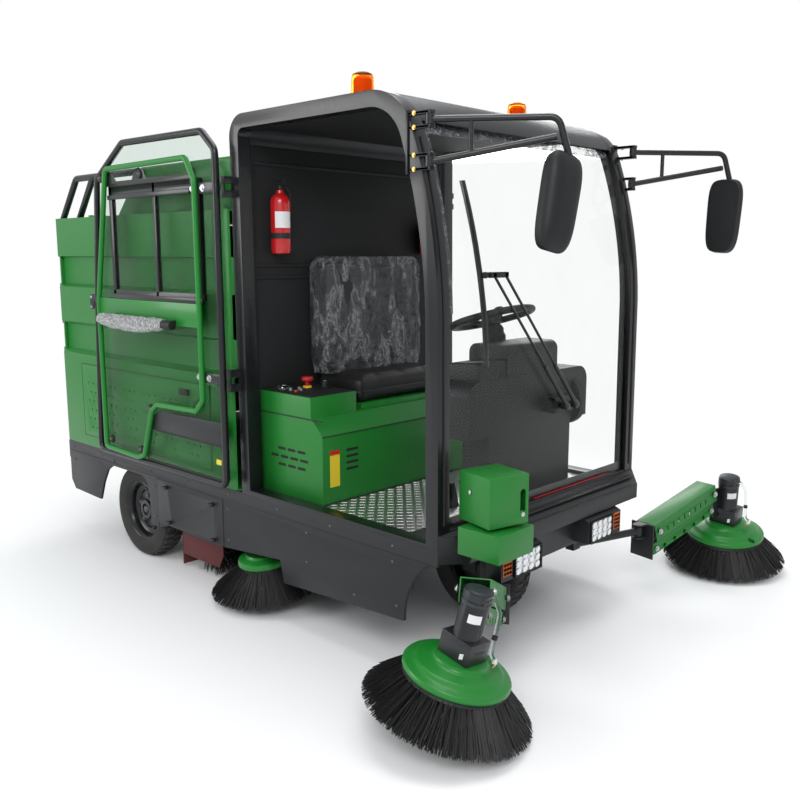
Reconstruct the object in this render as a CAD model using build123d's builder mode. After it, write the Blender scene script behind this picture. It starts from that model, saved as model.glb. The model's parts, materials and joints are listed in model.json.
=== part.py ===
"""Ride-on three-wheel street sweeper with an open cab, a rear hopper and five brushes.

Millimetres. +X points to the front, +Y to the vehicle's left and +Z up.
The origin lies on the ground, on the centre plane, under the rear wall of the cab.
"""
from build123d import *
from math import cos, radians, sin, sqrt, tan
import os

os.makedirs("parts", exist_ok=True)

# Body heights and widths
half_width = 650
sill_bottom = 450
sill_top = 504
sill_thickness = 18
skirt_thickness = 12
floor_thickness = 6
body_rear = -1640
body_front = 1012
cab_rear = -97
running_gap = 0.05
seat_gap = 0.3

# Cab hoops, roof and glass
hoop_depth = 60
hoop_wall = 55
hoop_sill = 18
roof_height = 2035
crown_start = 690
crown_radius = 213
crown_turn = 70
pillar_radius = 1926
pillar_turn = 18
rear_corner_radius = 85
rear_slope = 16
roof_thickness = 30
roof_edge_height = 1925
rear_wall_thickness = 36
glass_thickness = 6
glass_inset = 14
glass_bottom = 566

# Wheels
tyre_radius = 232
shoulder_radius = 224
rear_tyre_width = 118
front_tyre_width = 112
bead_radius = 143
rim_wall = 14
rim_web = 8
hub_radius = 48
wheel_shaft_radius = 20
rear_wheel_x = -980
rear_wheel_y = 561
front_wheel_x = 685

# Chassis
rail_y = 290
rail_width = 60
rail_height = 74
rail_front = 990
member_height = 44
member_width = 60
weld_gap = 0.3
axle_radius = 30
axle_half_length = 490
stem_radius = 40
head_plate_thickness = 12
fork_gap = 5
crown_thickness = 10
blade_thickness = 14

# Hopper and filter housing
hopper_front = -100
hopper_top = 1675
hopper_wall = 6
rib_depth = 28
housing_half_width = 600
housing_top = 1890
housing_top_rear = -864
housing_foot = -1088
housing_wall = 5
guard_radius = 16
guard_y = 620
gate_thickness = 26
gate_bottom = 512
gate_gap = 10
gate_pin_radius = 7
gate_pin_height = 1686

# Seat box, seat and controls
box_side_gap = 30
box_half_width = half_width - hoop_depth - box_side_gap
box_front = 331
box_top = 852
box_chamfer = 64
box_wall = 4
control_front = 262
control_inner_y = 309
control_top = 936
seat_half_width = 295
seat_frame_top = 872
cushion_front = 262
cushion_top = 990
back_top = 1478
back_thickness = 118

# Console and steering wheel
tower_rear = 800
tower_front = 925
tower_half_width = 270
tower_top = 830
dash_half_width = 390
dash_top = 1040
hood_half_width = 165
hood_rear = 742
hood_top = 1160
steer_height = 1245
steer_x = 723
steer_lean = 17
steer_radius = 161
steer_grip = 14
steer_hub_drop = 24

# Bumper and lamps
bumper_front = 1085
bumper_bottom = 461
bumper_top = 561
bumper_nose = 520
bumper_corner_y = 570
apron_x = 1022
apron_thickness = 8
apron_bottom = 338
apron_half_width = 400
lamp_inner_y = 165
lamp_outer_y = 410
lamp_front = 1100
lamp_bottom = 350

# Corner boxes
box_sheet = 3
low_box_bottom = 517
low_box_top = 611
cube_side = 163
cube_bottom = 622
cube_top = 790
cube_turn = -14

# Doors, in the open pose
door_hinge_x = -85
door_hinge_y = 693
door_plane_y = 700
door_tube_radius = 15
door_bend = 42
inner_tube_radius = 12.5
door_sheet = 4
door_pin_radius = 7
door_knuckle_radius = 13

# Side brushes
disc_radius = 176
disc_height = 58
bristle_inner = 120
tip_radius = 287
tip_inner = 215
bristle_drop = 130
brush_shaft_radius = 12
gear_side = 96
gear_height = 71
motor_radius = 46
motor_length = 153
arm_bolt_height = 285
arm_bolt_drop = 82
arm_bolt_start = 80
arm_bolt_span = 400
arm_bolt_radius = 8
arm_end = 20
arm_width = 100
arm_sheet = 4
arm_top_rise = 37
arm_flange = 80
low_arm_width = 80
low_arm_drop = 24
cheek_end = 14
cheek_offset = 24
cheek_thickness = 6
swing_pin_radius = 10
swing_knuckle_radius = 19
swing_height = 287

# Middle brushes
mid_x = -75
mid_y = 550
mid_rim_height = 182
mid_lean = 7
mid_disc_radius = 112
mid_disc_height = 40
mid_tip_radius = 250
mid_tip_inner = 180
mid_bristle_inner = 60
mid_motor_radius = 42

# Roller brush and its housing
roller_x = -480
roller_radius = 140
roller_height = 144
roller_half_length = 560
roller_shaft_radius = 15
housing_inner_y = 584
housing_plate = 6
roller_box_rear = -650
roller_box_front = -310
roller_box_bottom = 198

# Mirrors
mirror_pivot_x = 958
mirror_pivot_y = 640
mirror_pin_radius = 9
mirror_top = 1916
mirror_bottom = 1786
mirror_reach = 400
mirror_tube_radius = 11

# Wiper
wiper_height = 911
wiper_main_y = 103
wiper_spacing = 65
wiper_x = 1014

rail_top = sill_top - floor_thickness
rail_bottom = rail_top - rail_height
sill_inner = half_width - sill_thickness
hoop_inner = half_width - hoop_depth
steer_tilt = (-sin(radians(steer_lean)), 0, cos(radians(steer_lean)))


def save(piece, name):
    """Label one finished piece and write its file."""
    piece.part.label = name
    export_step(piece.part, f"parts/{name}.step")


def block(x, y, z, mode=Mode.ADD):
    """A box from its two limits along each axis."""
    with Locations(((x[0] + x[1]) / 2, (y[0] + y[1]) / 2, (z[0] + z[1]) / 2)):
        Box(abs(x[1] - x[0]), abs(y[1] - y[0]), abs(z[1] - z[0]), mode=mode)


def side_plane(y=0):
    """A plane with X and Z as its sketch axes and its normal towards -Y."""
    return Plane(origin=(0, y, 0), x_dir=(1, 0, 0), z_dir=(0, -1, 0))


def section_plane(x=0):
    """A plane with Y and Z as its sketch axes and its normal towards +X."""
    return Plane(origin=(x, 0, 0), x_dir=(0, 1, 0), z_dir=(1, 0, 0))


def slab(plane, points, low, high, mode=Mode.ADD):
    """Extrude a closed outline between two distances along its plane's normal."""
    with BuildSketch(plane.offset(low)) as outline:
        with BuildLine():
            Polyline(*points, close=True)
        make_face()
    extrude(outline.sketch, amount=high - low, mode=mode)


def rod(start, end, radius, mode=Mode.ADD):
    """A round bar from one point to another."""
    run = Vector(*end) - Vector(*start)
    with BuildSketch(Plane(origin=start, z_dir=run)) as ring:
        Circle(radius)
    extrude(ring.sketch, amount=run.length, mode=mode)


def bent_tube(points, radius, bend, close=False):
    """A round tube along straight runs with one bend radius."""
    with BuildLine() as path:
        FilletPolyline(*points, radius=bend, close=close)
    start = path.line @ 0
    with BuildSketch(Plane(origin=start, z_dir=path.line % 0)) as ring:
        Circle(radius)
    sweep(ring.sketch, path=path.line)


def turned(points, axis_plane, mode=Mode.ADD):
    """Turn an outline of (radius, height) points about the plane's normal."""
    upright = Plane(origin=axis_plane.origin, x_dir=axis_plane.x_dir, z_dir=-axis_plane.y_dir)
    with BuildSketch(upright) as outline:
        with BuildLine():
            Polyline(*points, close=True)
        make_face()
    revolve(outline.sketch, axis=Axis(axis_plane.origin, axis_plane.z_dir), mode=mode)


def cab_outline(inset=0):
    """The side outline of the cab, closed, moved inwards by an inset."""
    top = roof_height - inset
    bottom = sill_top + (hoop_sill if inset else 0)
    rear = cab_rear + inset
    corner = max(rear_corner_radius - inset, 20)
    crown = JernArc((crown_start, top), (1, 0), crown_radius - inset, -crown_turn)
    pillar = JernArc(crown @ 1, crown % 1, pillar_radius - inset, -pillar_turn)
    foot = Line(pillar @ 1, (body_front - inset, bottom))
    base = Line(foot @ 1, (rear + rear_slope, bottom))
    back = Line(base @ 1, (rear, top - corner))
    bend = ThreePointArc(
        back @ 1,
        (rear + corner * (1 - cos(radians(45))), top - corner * (1 - sin(radians(45)))),
        (rear + corner, top),
    )
    Line(bend @ 1, crown @ 0)


# Chassis frame: two rails, cross members out to the sills and the steering head plate
member_places = [-1600, -1290, -715, mid_x, 400, 955]
head_bottom = rail_top - head_plate_thickness
with BuildPart() as chassis_frame:
    for side in (-1, 1):
        rail = (side * (rail_y - rail_width / 2), side * (rail_y + rail_width / 2))
        block((body_rear, rail_front), rail, (rail_bottom, rail_top))
    rail_inner = rail_y - rail_width / 2 - weld_gap
    rail_outer = rail_y + rail_width / 2 + weld_gap
    member_level = (rail_top - member_height, rail_top)
    for x in member_places:
        member = (x - member_width / 2, x + member_width / 2)
        block(member, (-rail_inner, rail_inner), member_level)
        block(member, (-sill_inner, -rail_outer), member_level)
        block(member, (rail_outer, sill_inner), member_level)
    block((front_wheel_x - 80, front_wheel_x + 80), (-rail_inner, rail_inner), (head_bottom, rail_top))
    with Locations((front_wheel_x, 0, rail_top)):
        Cylinder(stem_radius + running_gap, 4 * head_plate_thickness, mode=Mode.SUBTRACT)
save(chassis_frame, "chassis_frame")

# Rear axle tube with its drive unit, hangers and wheel shafts
with BuildPart() as rear_axle:
    rod((rear_wheel_x, -axle_half_length, tyre_radius), (rear_wheel_x, axle_half_length, tyre_radius), axle_radius)
    shaft_end = rear_wheel_y + 8
    rod((rear_wheel_x, -shaft_end, tyre_radius), (rear_wheel_x, shaft_end, tyre_radius), wheel_shaft_radius)
    with Locations((rear_wheel_x, 70, tyre_radius)):
        Sphere(86)
    rod((rear_wheel_x, -230, tyre_radius), (rear_wheel_x, 0, tyre_radius), 66)
    for side in (-1, 1):
        hanger = (side * (rail_y - 25), side * (rail_y + 25))
        block((rear_wheel_x - 40, rear_wheel_x + 40), hanger, (tyre_radius, rail_bottom))
save(rear_axle, "rear_axle")

# Battery inside the seat box
with BuildPart() as battery_block:
    block((0, 270), (-440, 440), (sill_top, 765))
save(battery_block, "battery_block")

# Sills and skirts, with the rear wheel arch, the concave front edge and the access panels
panel_outline = [(-752, 230), (-752, 442), (-228, 442), (-228, 232), (-672, 230)]
panel_knobs = [(-665, 418), (-293, 411), (-644, 253), (-288, 250)]
panel_sheet = 3
with BuildPart() as side_skirts:
    for side in (-1, 1):
        block((body_rear, body_front), (side * sill_inner, side * half_width), (sill_bottom, sill_top))
        face = half_width if side < 0 else half_width - skirt_thickness
        with BuildSketch(side_plane(side * face)):
            with BuildLine():
                Polyline(
                    (body_rear, sill_bottom), (body_rear, 284), (-1601, 237), (-1325, 230),
                    (-1282, 329), (-1232, 404), (-1180, 434), (-900, 434), (-848, 408),
                    (-830, 350), (-830, 205), (-755, 202), (-672, 227), (-229, 229),
                    (42, 254), (162, 267), (184, 174), (856, 214),
                )
                ThreePointArc((856, 214), (884, 345), (968, sill_bottom))
                Line((968, sill_bottom), (body_rear, sill_bottom))
            make_face()
        extrude(amount=-skirt_thickness)
        near = -half_width - panel_sheet if side > 0 else half_width
        slab(side_plane(), panel_outline, near, near + panel_sheet)
        for x, z in panel_knobs:
            rod((x, side * half_width, z), (x, side * (half_width + 14), z), 9)
save(side_skirts, "side_skirts")

# Cab floor with the upstand that carries the windscreen
with BuildPart() as cab_floor:
    block((cab_rear, body_front), (-sill_inner, sill_inner), (rail_top, sill_top))
    block((body_front - 27, body_front - 3), (-hoop_inner, hoop_inner), (sill_top, glass_bottom))
save(cab_floor, "cab_floor")

# Cab hoops, one on each side
with BuildPart() as cab_hoops:
    for side in (-1, 1):
        face = half_width if side < 0 else hoop_inner
        with BuildSketch(side_plane(side * face)):
            with BuildLine():
                cab_outline()
            make_face()
            with BuildLine():
                cab_outline(hoop_wall)
            make_face(mode=Mode.SUBTRACT)
        extrude(amount=-hoop_depth)
    # Door hinge lugs and pins, and mirror lugs and pins
    for side in (-1, 1):
        for low, high in [(937, 1029), (1718, 1798)]:
            third = (high - low) / 3
            for bottom, top in [(low, low + third), (high - third, high)]:
                block(
                    (door_hinge_x - door_knuckle_radius, door_hinge_x + door_knuckle_radius),
                    (side * (half_width - 5), side * door_hinge_y),
                    (bottom, top),
                )
                rod(
                    (door_hinge_x, side * door_hinge_y, bottom),
                    (door_hinge_x, side * door_hinge_y, top),
                    door_knuckle_radius,
                )
            rod((door_hinge_x, side * door_hinge_y, low), (door_hinge_x, side * door_hinge_y, high), door_pin_radius)
        for z in (mirror_bottom, mirror_top):
            for low in (z - 26, z + 18):
                lug = (side * (mirror_pivot_y - 12), side * (mirror_pivot_y + 12))
                block((mirror_pivot_x - 90, mirror_pivot_x + 12), lug, (low, low + 10))
            foot = (mirror_pivot_x, side * mirror_pivot_y, z - 26)
            rod(foot, (mirror_pivot_x, side * mirror_pivot_y, z + 28), mirror_pin_radius)
save(cab_hoops, "cab_hoops")

# Roof between the hoops
with BuildPart() as roof:
    with BuildSketch(side_plane(hoop_inner)):
        with BuildLine():
            cab_outline()
        make_face()
        with BuildLine():
            cab_outline(roof_thickness)
        make_face(mode=Mode.SUBTRACT)
        with Locations((0, roof_edge_height - 1000)):
            Rectangle(3000, 2000, mode=Mode.SUBTRACT)
    extrude(amount=2 * hoop_inner)
save(roof, "roof")

# Rear wall of the cab
with BuildPart() as rear_wall:
    block((cab_rear, cab_rear + rear_wall_thickness), (-hoop_inner, hoop_inner), (sill_top, roof_edge_height))
save(rear_wall, "rear_wall")

# Windscreen
with BuildPart() as windscreen:
    with BuildSketch(side_plane(hoop_inner)):
        with BuildLine():
            cab_outline(glass_inset)
        make_face()
        with BuildLine():
            cab_outline(glass_inset + glass_thickness)
        make_face(mode=Mode.SUBTRACT)
        with Locations((0, roof_edge_height + 1000)):
            Rectangle(3000, 2000, mode=Mode.SUBTRACT)
        with Locations((0, glass_bottom - 1000)):
            Rectangle(3000, 2000, mode=Mode.SUBTRACT)
        with Locations((-700, 1000)):
            Rectangle(2600, 3000, mode=Mode.SUBTRACT)
    extrude(amount=2 * hoop_inner)
save(windscreen, "windscreen")

# Seat box with the control box on its right end, the controls and the seat frame
wall_front = cab_rear + rear_wall_thickness


def box_profile(inset, bottom):
    """Side outline of the seat box with its front chamfer."""
    rear = wall_front + inset
    front = box_front - inset
    top = box_top - inset
    return [(rear, bottom), (rear, top), (front - box_chamfer, top), (front, top - box_chamfer), (front, bottom)]


with BuildPart() as seat_box:
    slab(side_plane(), box_profile(0, sill_top), -box_half_width, box_half_width)
    slab(side_plane(), box_profile(box_wall, sill_top), -box_half_width + box_wall, box_half_width - box_wall, Mode.SUBTRACT)
    block((wall_front, control_front), (-box_half_width, -control_inner_y), (box_top, control_top))
    block(
        (wall_front + box_wall, control_front - box_wall),
        (-box_half_width + box_wall, -control_inner_y - box_wall),
        (box_top, control_top - box_wall),
        Mode.SUBTRACT,
    )
    # Stop button, key switch and gauge
    for x, y, radius, height in [(60, -500, 22, 48), (130, -360, 14, 26), (-10, -470, 26, 14)]:
        rod((x, y, control_top), (x, y, control_top + height), radius)
    # Seat frame
    block((wall_front + 8, cushion_front - 20), (-seat_half_width + 40, seat_half_width - 40), (box_top, seat_frame_top))
    block((wall_front + 8, wall_front + 14), (-200, 200), (box_top, 1300))
save(seat_box, "seat_box")

# Seat cushion and back
back_face = wall_front + 14 + seat_gap
with BuildPart() as seat_cushion:
    block((back_face, cushion_front), (-seat_half_width, seat_half_width), (seat_frame_top + seat_gap, cushion_top))
    fillet(seat_cushion.edges().filter_by(Axis.Z), 40)
    fillet(seat_cushion.faces().sort_by(Axis.Z)[-1].edges(), 24)
save(seat_cushion, "seat_cushion")

with BuildPart() as seat_back:
    block((back_face, back_face + back_thickness), (-seat_half_width, seat_half_width), (cushion_top + seat_gap, back_top))
    fillet(seat_back.edges().filter_by(Axis.X), 55)
    fillet(seat_back.faces().sort_by(Axis.X)[-1].edges(), 24)
save(seat_back, "seat_back")

# Console: tower, dash, hood, steering column and pedals
column_top = Vector(steer_x, 0, steer_height) - (steer_hub_drop + seat_gap) * Vector(*steer_tilt)
column_foot = Vector(steer_x, 0, steer_height) - 190 * Vector(*steer_tilt)
with BuildPart() as console:
    block((tower_rear, tower_front), (-tower_half_width, tower_half_width), (sill_top, tower_top))
    block((tower_rear + 4, tower_front - 4), (-tower_half_width + 4, tower_half_width - 4), (sill_top, tower_top - 4), Mode.SUBTRACT)
    block((tower_rear - 10, tower_front), (-dash_half_width, dash_half_width), (tower_top, dash_top))
    fillet(console.edges().filter_by(Axis.X).group_by(Axis.Z)[-1], 60)
    block((hood_rear, tower_front), (-hood_half_width, hood_half_width), (dash_top - 60, hood_top))
    fillet(console.edges().filter_by(Axis.Y).group_by(Axis.Z)[-1], 35)
    rod(tuple(column_foot), tuple(column_top), 26)
    for y in (-210, -110):
        slab(side_plane(), [(700, sill_top), (716, sill_top), (690, 600), (674, 596)], -y - 28, -y + 28)
save(console, "console")

# Steering wheel with three spokes and a spinner knob
wheel_plane = Plane(
    origin=(steer_x, 0, steer_height),
    x_dir=(cos(radians(steer_lean)), 0, sin(radians(steer_lean))),
    z_dir=steer_tilt,
)


def wheel_point(radius, turn, height):
    """A point of the steering wheel from its radius, its angle and its height above the grip's plane."""
    return tuple(wheel_plane.from_local_coords((radius * cos(radians(turn)), radius * sin(radians(turn)), height)))


with BuildPart() as steering_wheel:
    corners = [radians(30 * step) for step in range(12)]
    turned([(steer_radius + steer_grip * cos(turn), steer_grip * sin(turn)) for turn in corners], wheel_plane)
    turned([(0, -steer_hub_drop), (34, -steer_hub_drop), (34, 4), (20, 12), (0, 12)], wheel_plane)
    for turn in (30, 150, 270):
        rod(wheel_point(20, turn, -10), wheel_point(steer_radius, turn, 0), 8)
    rod(wheel_point(steer_radius, 115, 0), wheel_point(steer_radius, 115, 58), 16)
save(steering_wheel, "steering_wheel")

# Extinguishers on the rear wall
extinguisher_radius = 41
with BuildPart() as extinguishers:
    for y, low, high in [(-465, 1496, 1746), (440, 1490, 1666)]:
        x = wall_front + extinguisher_radius + 3
        bottle = Plane(origin=(x, y, low), x_dir=(1, 0, 0), z_dir=(0, 0, 1))
        tall = high - low
        turned(
            [(0, 0), (extinguisher_radius, 0), (extinguisher_radius, tall - 30), (16, tall), (16, tall + 24), (0, tall + 24)],
            bottle,
        )
        block((wall_front, x), (y - 20, y + 20), (low + 60, low + 90))
        block((x - 12, x + 34), (y - 12, y + 12), (high + 10, high + 60))
save(extinguishers, "extinguishers")

# Front bumper with its apron and headlamp housings, and the rear bumper
lamp_rear = apron_x + apron_thickness
lens_depth = 6
tow_bore_radius = 10.5
with BuildPart() as bumpers:
    slab(
        side_plane(),
        [(body_front, bumper_bottom), (bumper_front, bumper_bottom), (bumper_front, bumper_nose), (body_front, bumper_top)],
        -half_width,
        half_width,
    )
    for side in (-1, 1):
        corner = [
            (body_front, side * half_width), (bumper_front + 1, side * (bumper_corner_y - 1)),
            (bumper_front + 40, side * half_width), (bumper_front, side * (half_width + 40)),
            (body_front, side * (half_width + 40)),
        ]
        slab(Plane.XY, corner, 0, 700, Mode.SUBTRACT)
    block((apron_x, apron_x + apron_thickness), (-apron_half_width, apron_half_width), (apron_bottom, bumper_bottom))
    for side in (-1, 1):
        low, high = sorted((-side * lamp_inner_y, -side * lamp_outer_y))
        housing = [
            (lamp_rear, lamp_bottom), (lamp_front, lamp_bottom), (lamp_front, bumper_bottom - 18),
            (lamp_front - 40, bumper_bottom), (lamp_rear, bumper_bottom),
        ]
        slab(side_plane(), housing, low, high)
    # Rear bumper with the tow plate
    block((body_rear - 28, body_rear), (-half_width + 10, half_width - 10), (400, sill_top - 8))
    block((body_rear - 84, body_rear), (-45, 45), (388, 400))
    with Locations((body_rear - 60, 0, 394)):
        Cylinder(tow_bore_radius, 40, mode=Mode.SUBTRACT)
save(bumpers, "bumpers")

with BuildPart() as headlamp_lenses:
    for side in (-1, 1):
        lens = (side * 178, side * 332)
        block((lamp_front, lamp_front + lens_depth), lens, (lamp_bottom + 8, bumper_bottom - 24))
save(headlamp_lenses, "headlamp_lenses")

# Amber beacons and lenses, and red tail lamps
beacon_places = [(530, -520), (545, 380)]
with BuildPart() as signal_lamps:
    for x, y in beacon_places:
        turned(
            [(0, 0), (52, 0), (52, 14), (44, 16), (40, 84), (30, 94), (0, 96)],
            Plane(origin=(x, y, roof_height), x_dir=(1, 0, 0), z_dir=(0, 0, 1)),
        )
    for side in (-1, 1):
        amber = (side * 352, side * 400)
        block((lamp_front, lamp_front + lens_depth), amber, (lamp_bottom + 22, bumper_bottom - 24))
        block((body_rear - 38, body_rear - 28), (side * 470, side * 610), (420, 476))
save(signal_lamps, "signal_lamps")

# Green corner boxes in front of the right end of the bumper
with BuildPart() as corner_boxes:
    block((bumper_front + 5, 1260), (-640, -450), (low_box_bottom, low_box_top))
    block((bumper_front + 5 + box_sheet, 1260 - box_sheet), (-640 + box_sheet, -450 - box_sheet), (low_box_bottom + box_sheet, low_box_top - box_sheet), Mode.SUBTRACT)
    block((bumper_front, bumper_front + 5), (-bumper_corner_y + 5, -460), (bumper_bottom + 8, low_box_top - 8))
    cube_plane = Plane(origin=(1154, -533, cube_bottom), x_dir=(cos(radians(cube_turn)), sin(radians(cube_turn)), 0), z_dir=(0, 0, 1))
    rod((1154, -533, low_box_top - 2), (1154, -533, cube_bottom + 2), 24)
    with BuildSketch(cube_plane):
        Rectangle(cube_side, cube_side)
    extrude(amount=cube_top - cube_bottom)
    with BuildSketch(cube_plane.offset(box_sheet)):
        Rectangle(cube_side - 2 * box_sheet, cube_side - 2 * box_sheet)
    extrude(amount=cube_top - cube_bottom - 2 * box_sheet, mode=Mode.SUBTRACT)
save(corner_boxes, "corner_boxes")


# Hopper: a shell with two sunk bands along each side, open at the rear
band_levels = [
    # half width less the rib depth or not, height
    (0, sill_top), (0, 984), (1, 1005), (1, 1132), (0, 1148),
    (0, 1328), (1, 1343), (1, 1480), (0, 1480 + 4), (0, hopper_top),
]


def hopper_section(inset):
    """Cross section of the hopper, moved inwards by an inset."""
    right = []
    for sunk, z in band_levels:
        width = half_width - inset - sunk * rib_depth
        height = min(max(z, sill_top + inset), hopper_top - inset)
        right.append((width, height))
    left = [(-y, z) for y, z in reversed(right)]
    return right + left


strip_rear = -182
hatch_sheet = 3
with BuildPart() as hopper_body:
    slab(section_plane(), hopper_section(0), body_rear, hopper_front)
    block((strip_rear, hopper_front), (-half_width, half_width), (sill_top, hopper_top))
    fillet(hopper_body.edges().filter_by(Axis.Z).group_by(Axis.X)[-1], 40)
    slab(section_plane(), hopper_section(hopper_wall), body_rear, hopper_front - hopper_wall, Mode.SUBTRACT)
    # Hinge ears and pins for the tail gate
    for side in (-1, 1):
        for y in (368, 444):
            ear = (side * y, side * (y + 12))
            block((body_rear - 22, body_rear + 12), ear, (hopper_top - 2, gate_pin_height + 14))
        rod((body_rear - 14, side * 368, gate_pin_height), (body_rear - 14, side * 456, gate_pin_height), gate_pin_radius)
    # Side hatches with their pulls
    for side in (-1, 1):
        block((-1444, -292), (side * half_width, side * (half_width + hatch_sheet)), (560, 936))
        pull = (side * half_width, side * (half_width + hatch_sheet + 12))
        block((-510, -450), pull, (880, 900))
save(hopper_body, "hopper_body")

# Tail gate, hung from its top edge, with the same bands as the sides
gate_face = body_rear - seat_gap
gate_top = hopper_top - gate_gap
with BuildPart() as tailgate:
    block((gate_face - gate_thickness, gate_face), (-half_width + 14, half_width - 14), (gate_bottom, gate_top))
    for low, high in [(1005, 1132), (1343, 1480)]:
        block((gate_face - gate_thickness - 1, gate_face - gate_thickness + 14), (-half_width, half_width), (low, high), Mode.SUBTRACT)
    for side in (-1, 1):
        block((body_rear - 22, body_rear - 6), (side * 386, side * 438), (gate_top - 2, gate_pin_height))
        rod((body_rear - 14, side * 386, gate_pin_height), (body_rear - 14, side * 438, gate_pin_height), 13)
        rod((body_rear - 14, side * 380, gate_pin_height), (body_rear - 14, side * 444, gate_pin_height), gate_pin_radius + running_gap, Mode.SUBTRACT)
    block((gate_face - gate_thickness - 30, gate_face - gate_thickness), (-90, 90), (620, 636))
save(tailgate, "tailgate")

# Filter housing on top of the hopper
with BuildPart() as filter_housing:
    slab(
        side_plane(),
        [(housing_foot, hopper_top), (housing_top_rear, housing_top), (hopper_front, housing_top), (hopper_front, hopper_top)],
        -housing_half_width,
        housing_half_width,
    )
    fillet(filter_housing.edges().filter_by(Axis.X).group_by(Axis.Z)[-1], 12)
    slab(
        side_plane(),
        [
            (housing_foot + 2.4 * housing_wall, hopper_top), (housing_top_rear + housing_wall, housing_top - housing_wall),
            (hopper_front - housing_wall, housing_top - housing_wall), (hopper_front - housing_wall, hopper_top),
        ],
        -housing_half_width + 2 * housing_wall,
        housing_half_width - 2 * housing_wall,
        Mode.SUBTRACT,
    )
save(filter_housing, "filter_housing")

# Guard rails beside the housing, behind its rear slope
guard_top = 1868
guard_front = -840
guard_struts = [
    # foot x, top x
    (-1612, -1446), (-1430, -1272),
]
with BuildPart() as guard_rails:
    for side in (-1, 1):
        y = side * guard_y
        (rear_foot, rear_top), (front_foot, front_top) = guard_struts
        sink = 30
        lean = (rear_top - rear_foot) / (guard_top - hopper_top)
        start = (rear_foot - sink * lean, y, hopper_top - sink)
        bent_tube([start, (rear_top, y, guard_top), (guard_front, y, guard_top)], guard_radius, 40)
        rod((front_foot - sink * lean, y, hopper_top - sink), (front_top, y, guard_top), guard_radius)
        wall = side * (housing_half_width + seat_gap)
        block((guard_front - 24, guard_front - 2), (wall, y), (guard_top - 11, guard_top + 11))
        block((body_rear - 60, hopper_front), (y - 30, y + 30), (hopper_top - 90, hopper_top), Mode.SUBTRACT)
save(guard_rails, "guard_rails")


def tyre_section(plane, width):
    """Half-round shouldered tyre section: local x is the radius, local y runs across the tyre."""
    half = width / 2
    with BuildSketch(plane) as section:
        with BuildLine():
            Line((bead_radius, -0.78 * half), (bead_radius, 0.78 * half))
            ThreePointArc((bead_radius, 0.78 * half), (0.8 * tyre_radius, half), (0.92 * tyre_radius, 0.93 * half))
            Line((0.92 * tyre_radius, 0.93 * half), (shoulder_radius, 0.86 * half))
            ThreePointArc((shoulder_radius, 0.86 * half), (tyre_radius, 0), (shoulder_radius, -0.86 * half))
            Line((shoulder_radius, -0.86 * half), (0.92 * tyre_radius, -0.93 * half))
            ThreePointArc((0.92 * tyre_radius, -0.93 * half), (0.8 * tyre_radius, -half), (bead_radius, -0.78 * half))
        make_face()
    return section.sketch


def rim_outline(half, web, outer):
    """Closed outline of a dished rim: (radius, distance along the axle), web on one side."""
    edge = bead_radius - seat_gap
    return [
        (wheel_shaft_radius + running_gap, web - rim_web - 26), (hub_radius, web - rim_web - 26),
        (hub_radius, web - rim_web), (edge - rim_wall, web - rim_web), (edge - rim_wall, -half), (edge, -half),
        (edge, half), (edge - rim_wall, half), (edge - rim_wall, web), (hub_radius, web),
        (hub_radius - 6, web + outer), (wheel_shaft_radius + running_gap, web + outer),
    ]


wheels = [
    # name, centre x, centre y, tyre width, outward direction, web offset
    ("rear_right", rear_wheel_x, -rear_wheel_y, rear_tyre_width, -1, 0),
    ("rear_left", rear_wheel_x, rear_wheel_y, rear_tyre_width, 1, 0),
    ("front", front_wheel_x, 0, front_tyre_width, 1, 4),
]
for name, x, y, width, outward, web in wheels:
    centre = (x, y, tyre_radius)
    with BuildPart() as tyre:
        section = tyre_section(Plane(origin=centre, x_dir=(1, 0, 0), z_dir=(0, 0, 1)), width)
        revolve(section, axis=Axis(centre, (0, 1, 0)))
    save(tyre, f"tyre_{name}")
    with BuildPart() as rim:
        spin_plane = Plane(origin=centre, x_dir=(1, 0, 0), z_dir=(0, outward, 0))
        turned(rim_outline(0.39 * width, web, 16), spin_plane)
    save(rim, f"rim_{name}")

# Steering fork: stem, crown, two blades and the wheel shaft
crown_bottom = head_bottom - fork_gap - crown_thickness
blade_inner = front_tyre_width / 2 + 8
with BuildPart() as steer_fork:
    rod((front_wheel_x, 0, crown_bottom), (front_wheel_x, 0, rail_top - 1), stem_radius)
    block((front_wheel_x - 60, front_wheel_x + 60), (-blade_inner - blade_thickness, blade_inner + blade_thickness), (crown_bottom, crown_bottom + crown_thickness))
    for side in (-1, 1):
        block((front_wheel_x - 34, front_wheel_x + 34), (side * blade_inner, side * (blade_inner + blade_thickness)), (tyre_radius - 34, crown_bottom))
    rod((front_wheel_x, -blade_inner - 6, tyre_radius), (front_wheel_x, blade_inner + 6, tyre_radius), wheel_shaft_radius)
save(steer_fork, "steer_fork")

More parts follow.
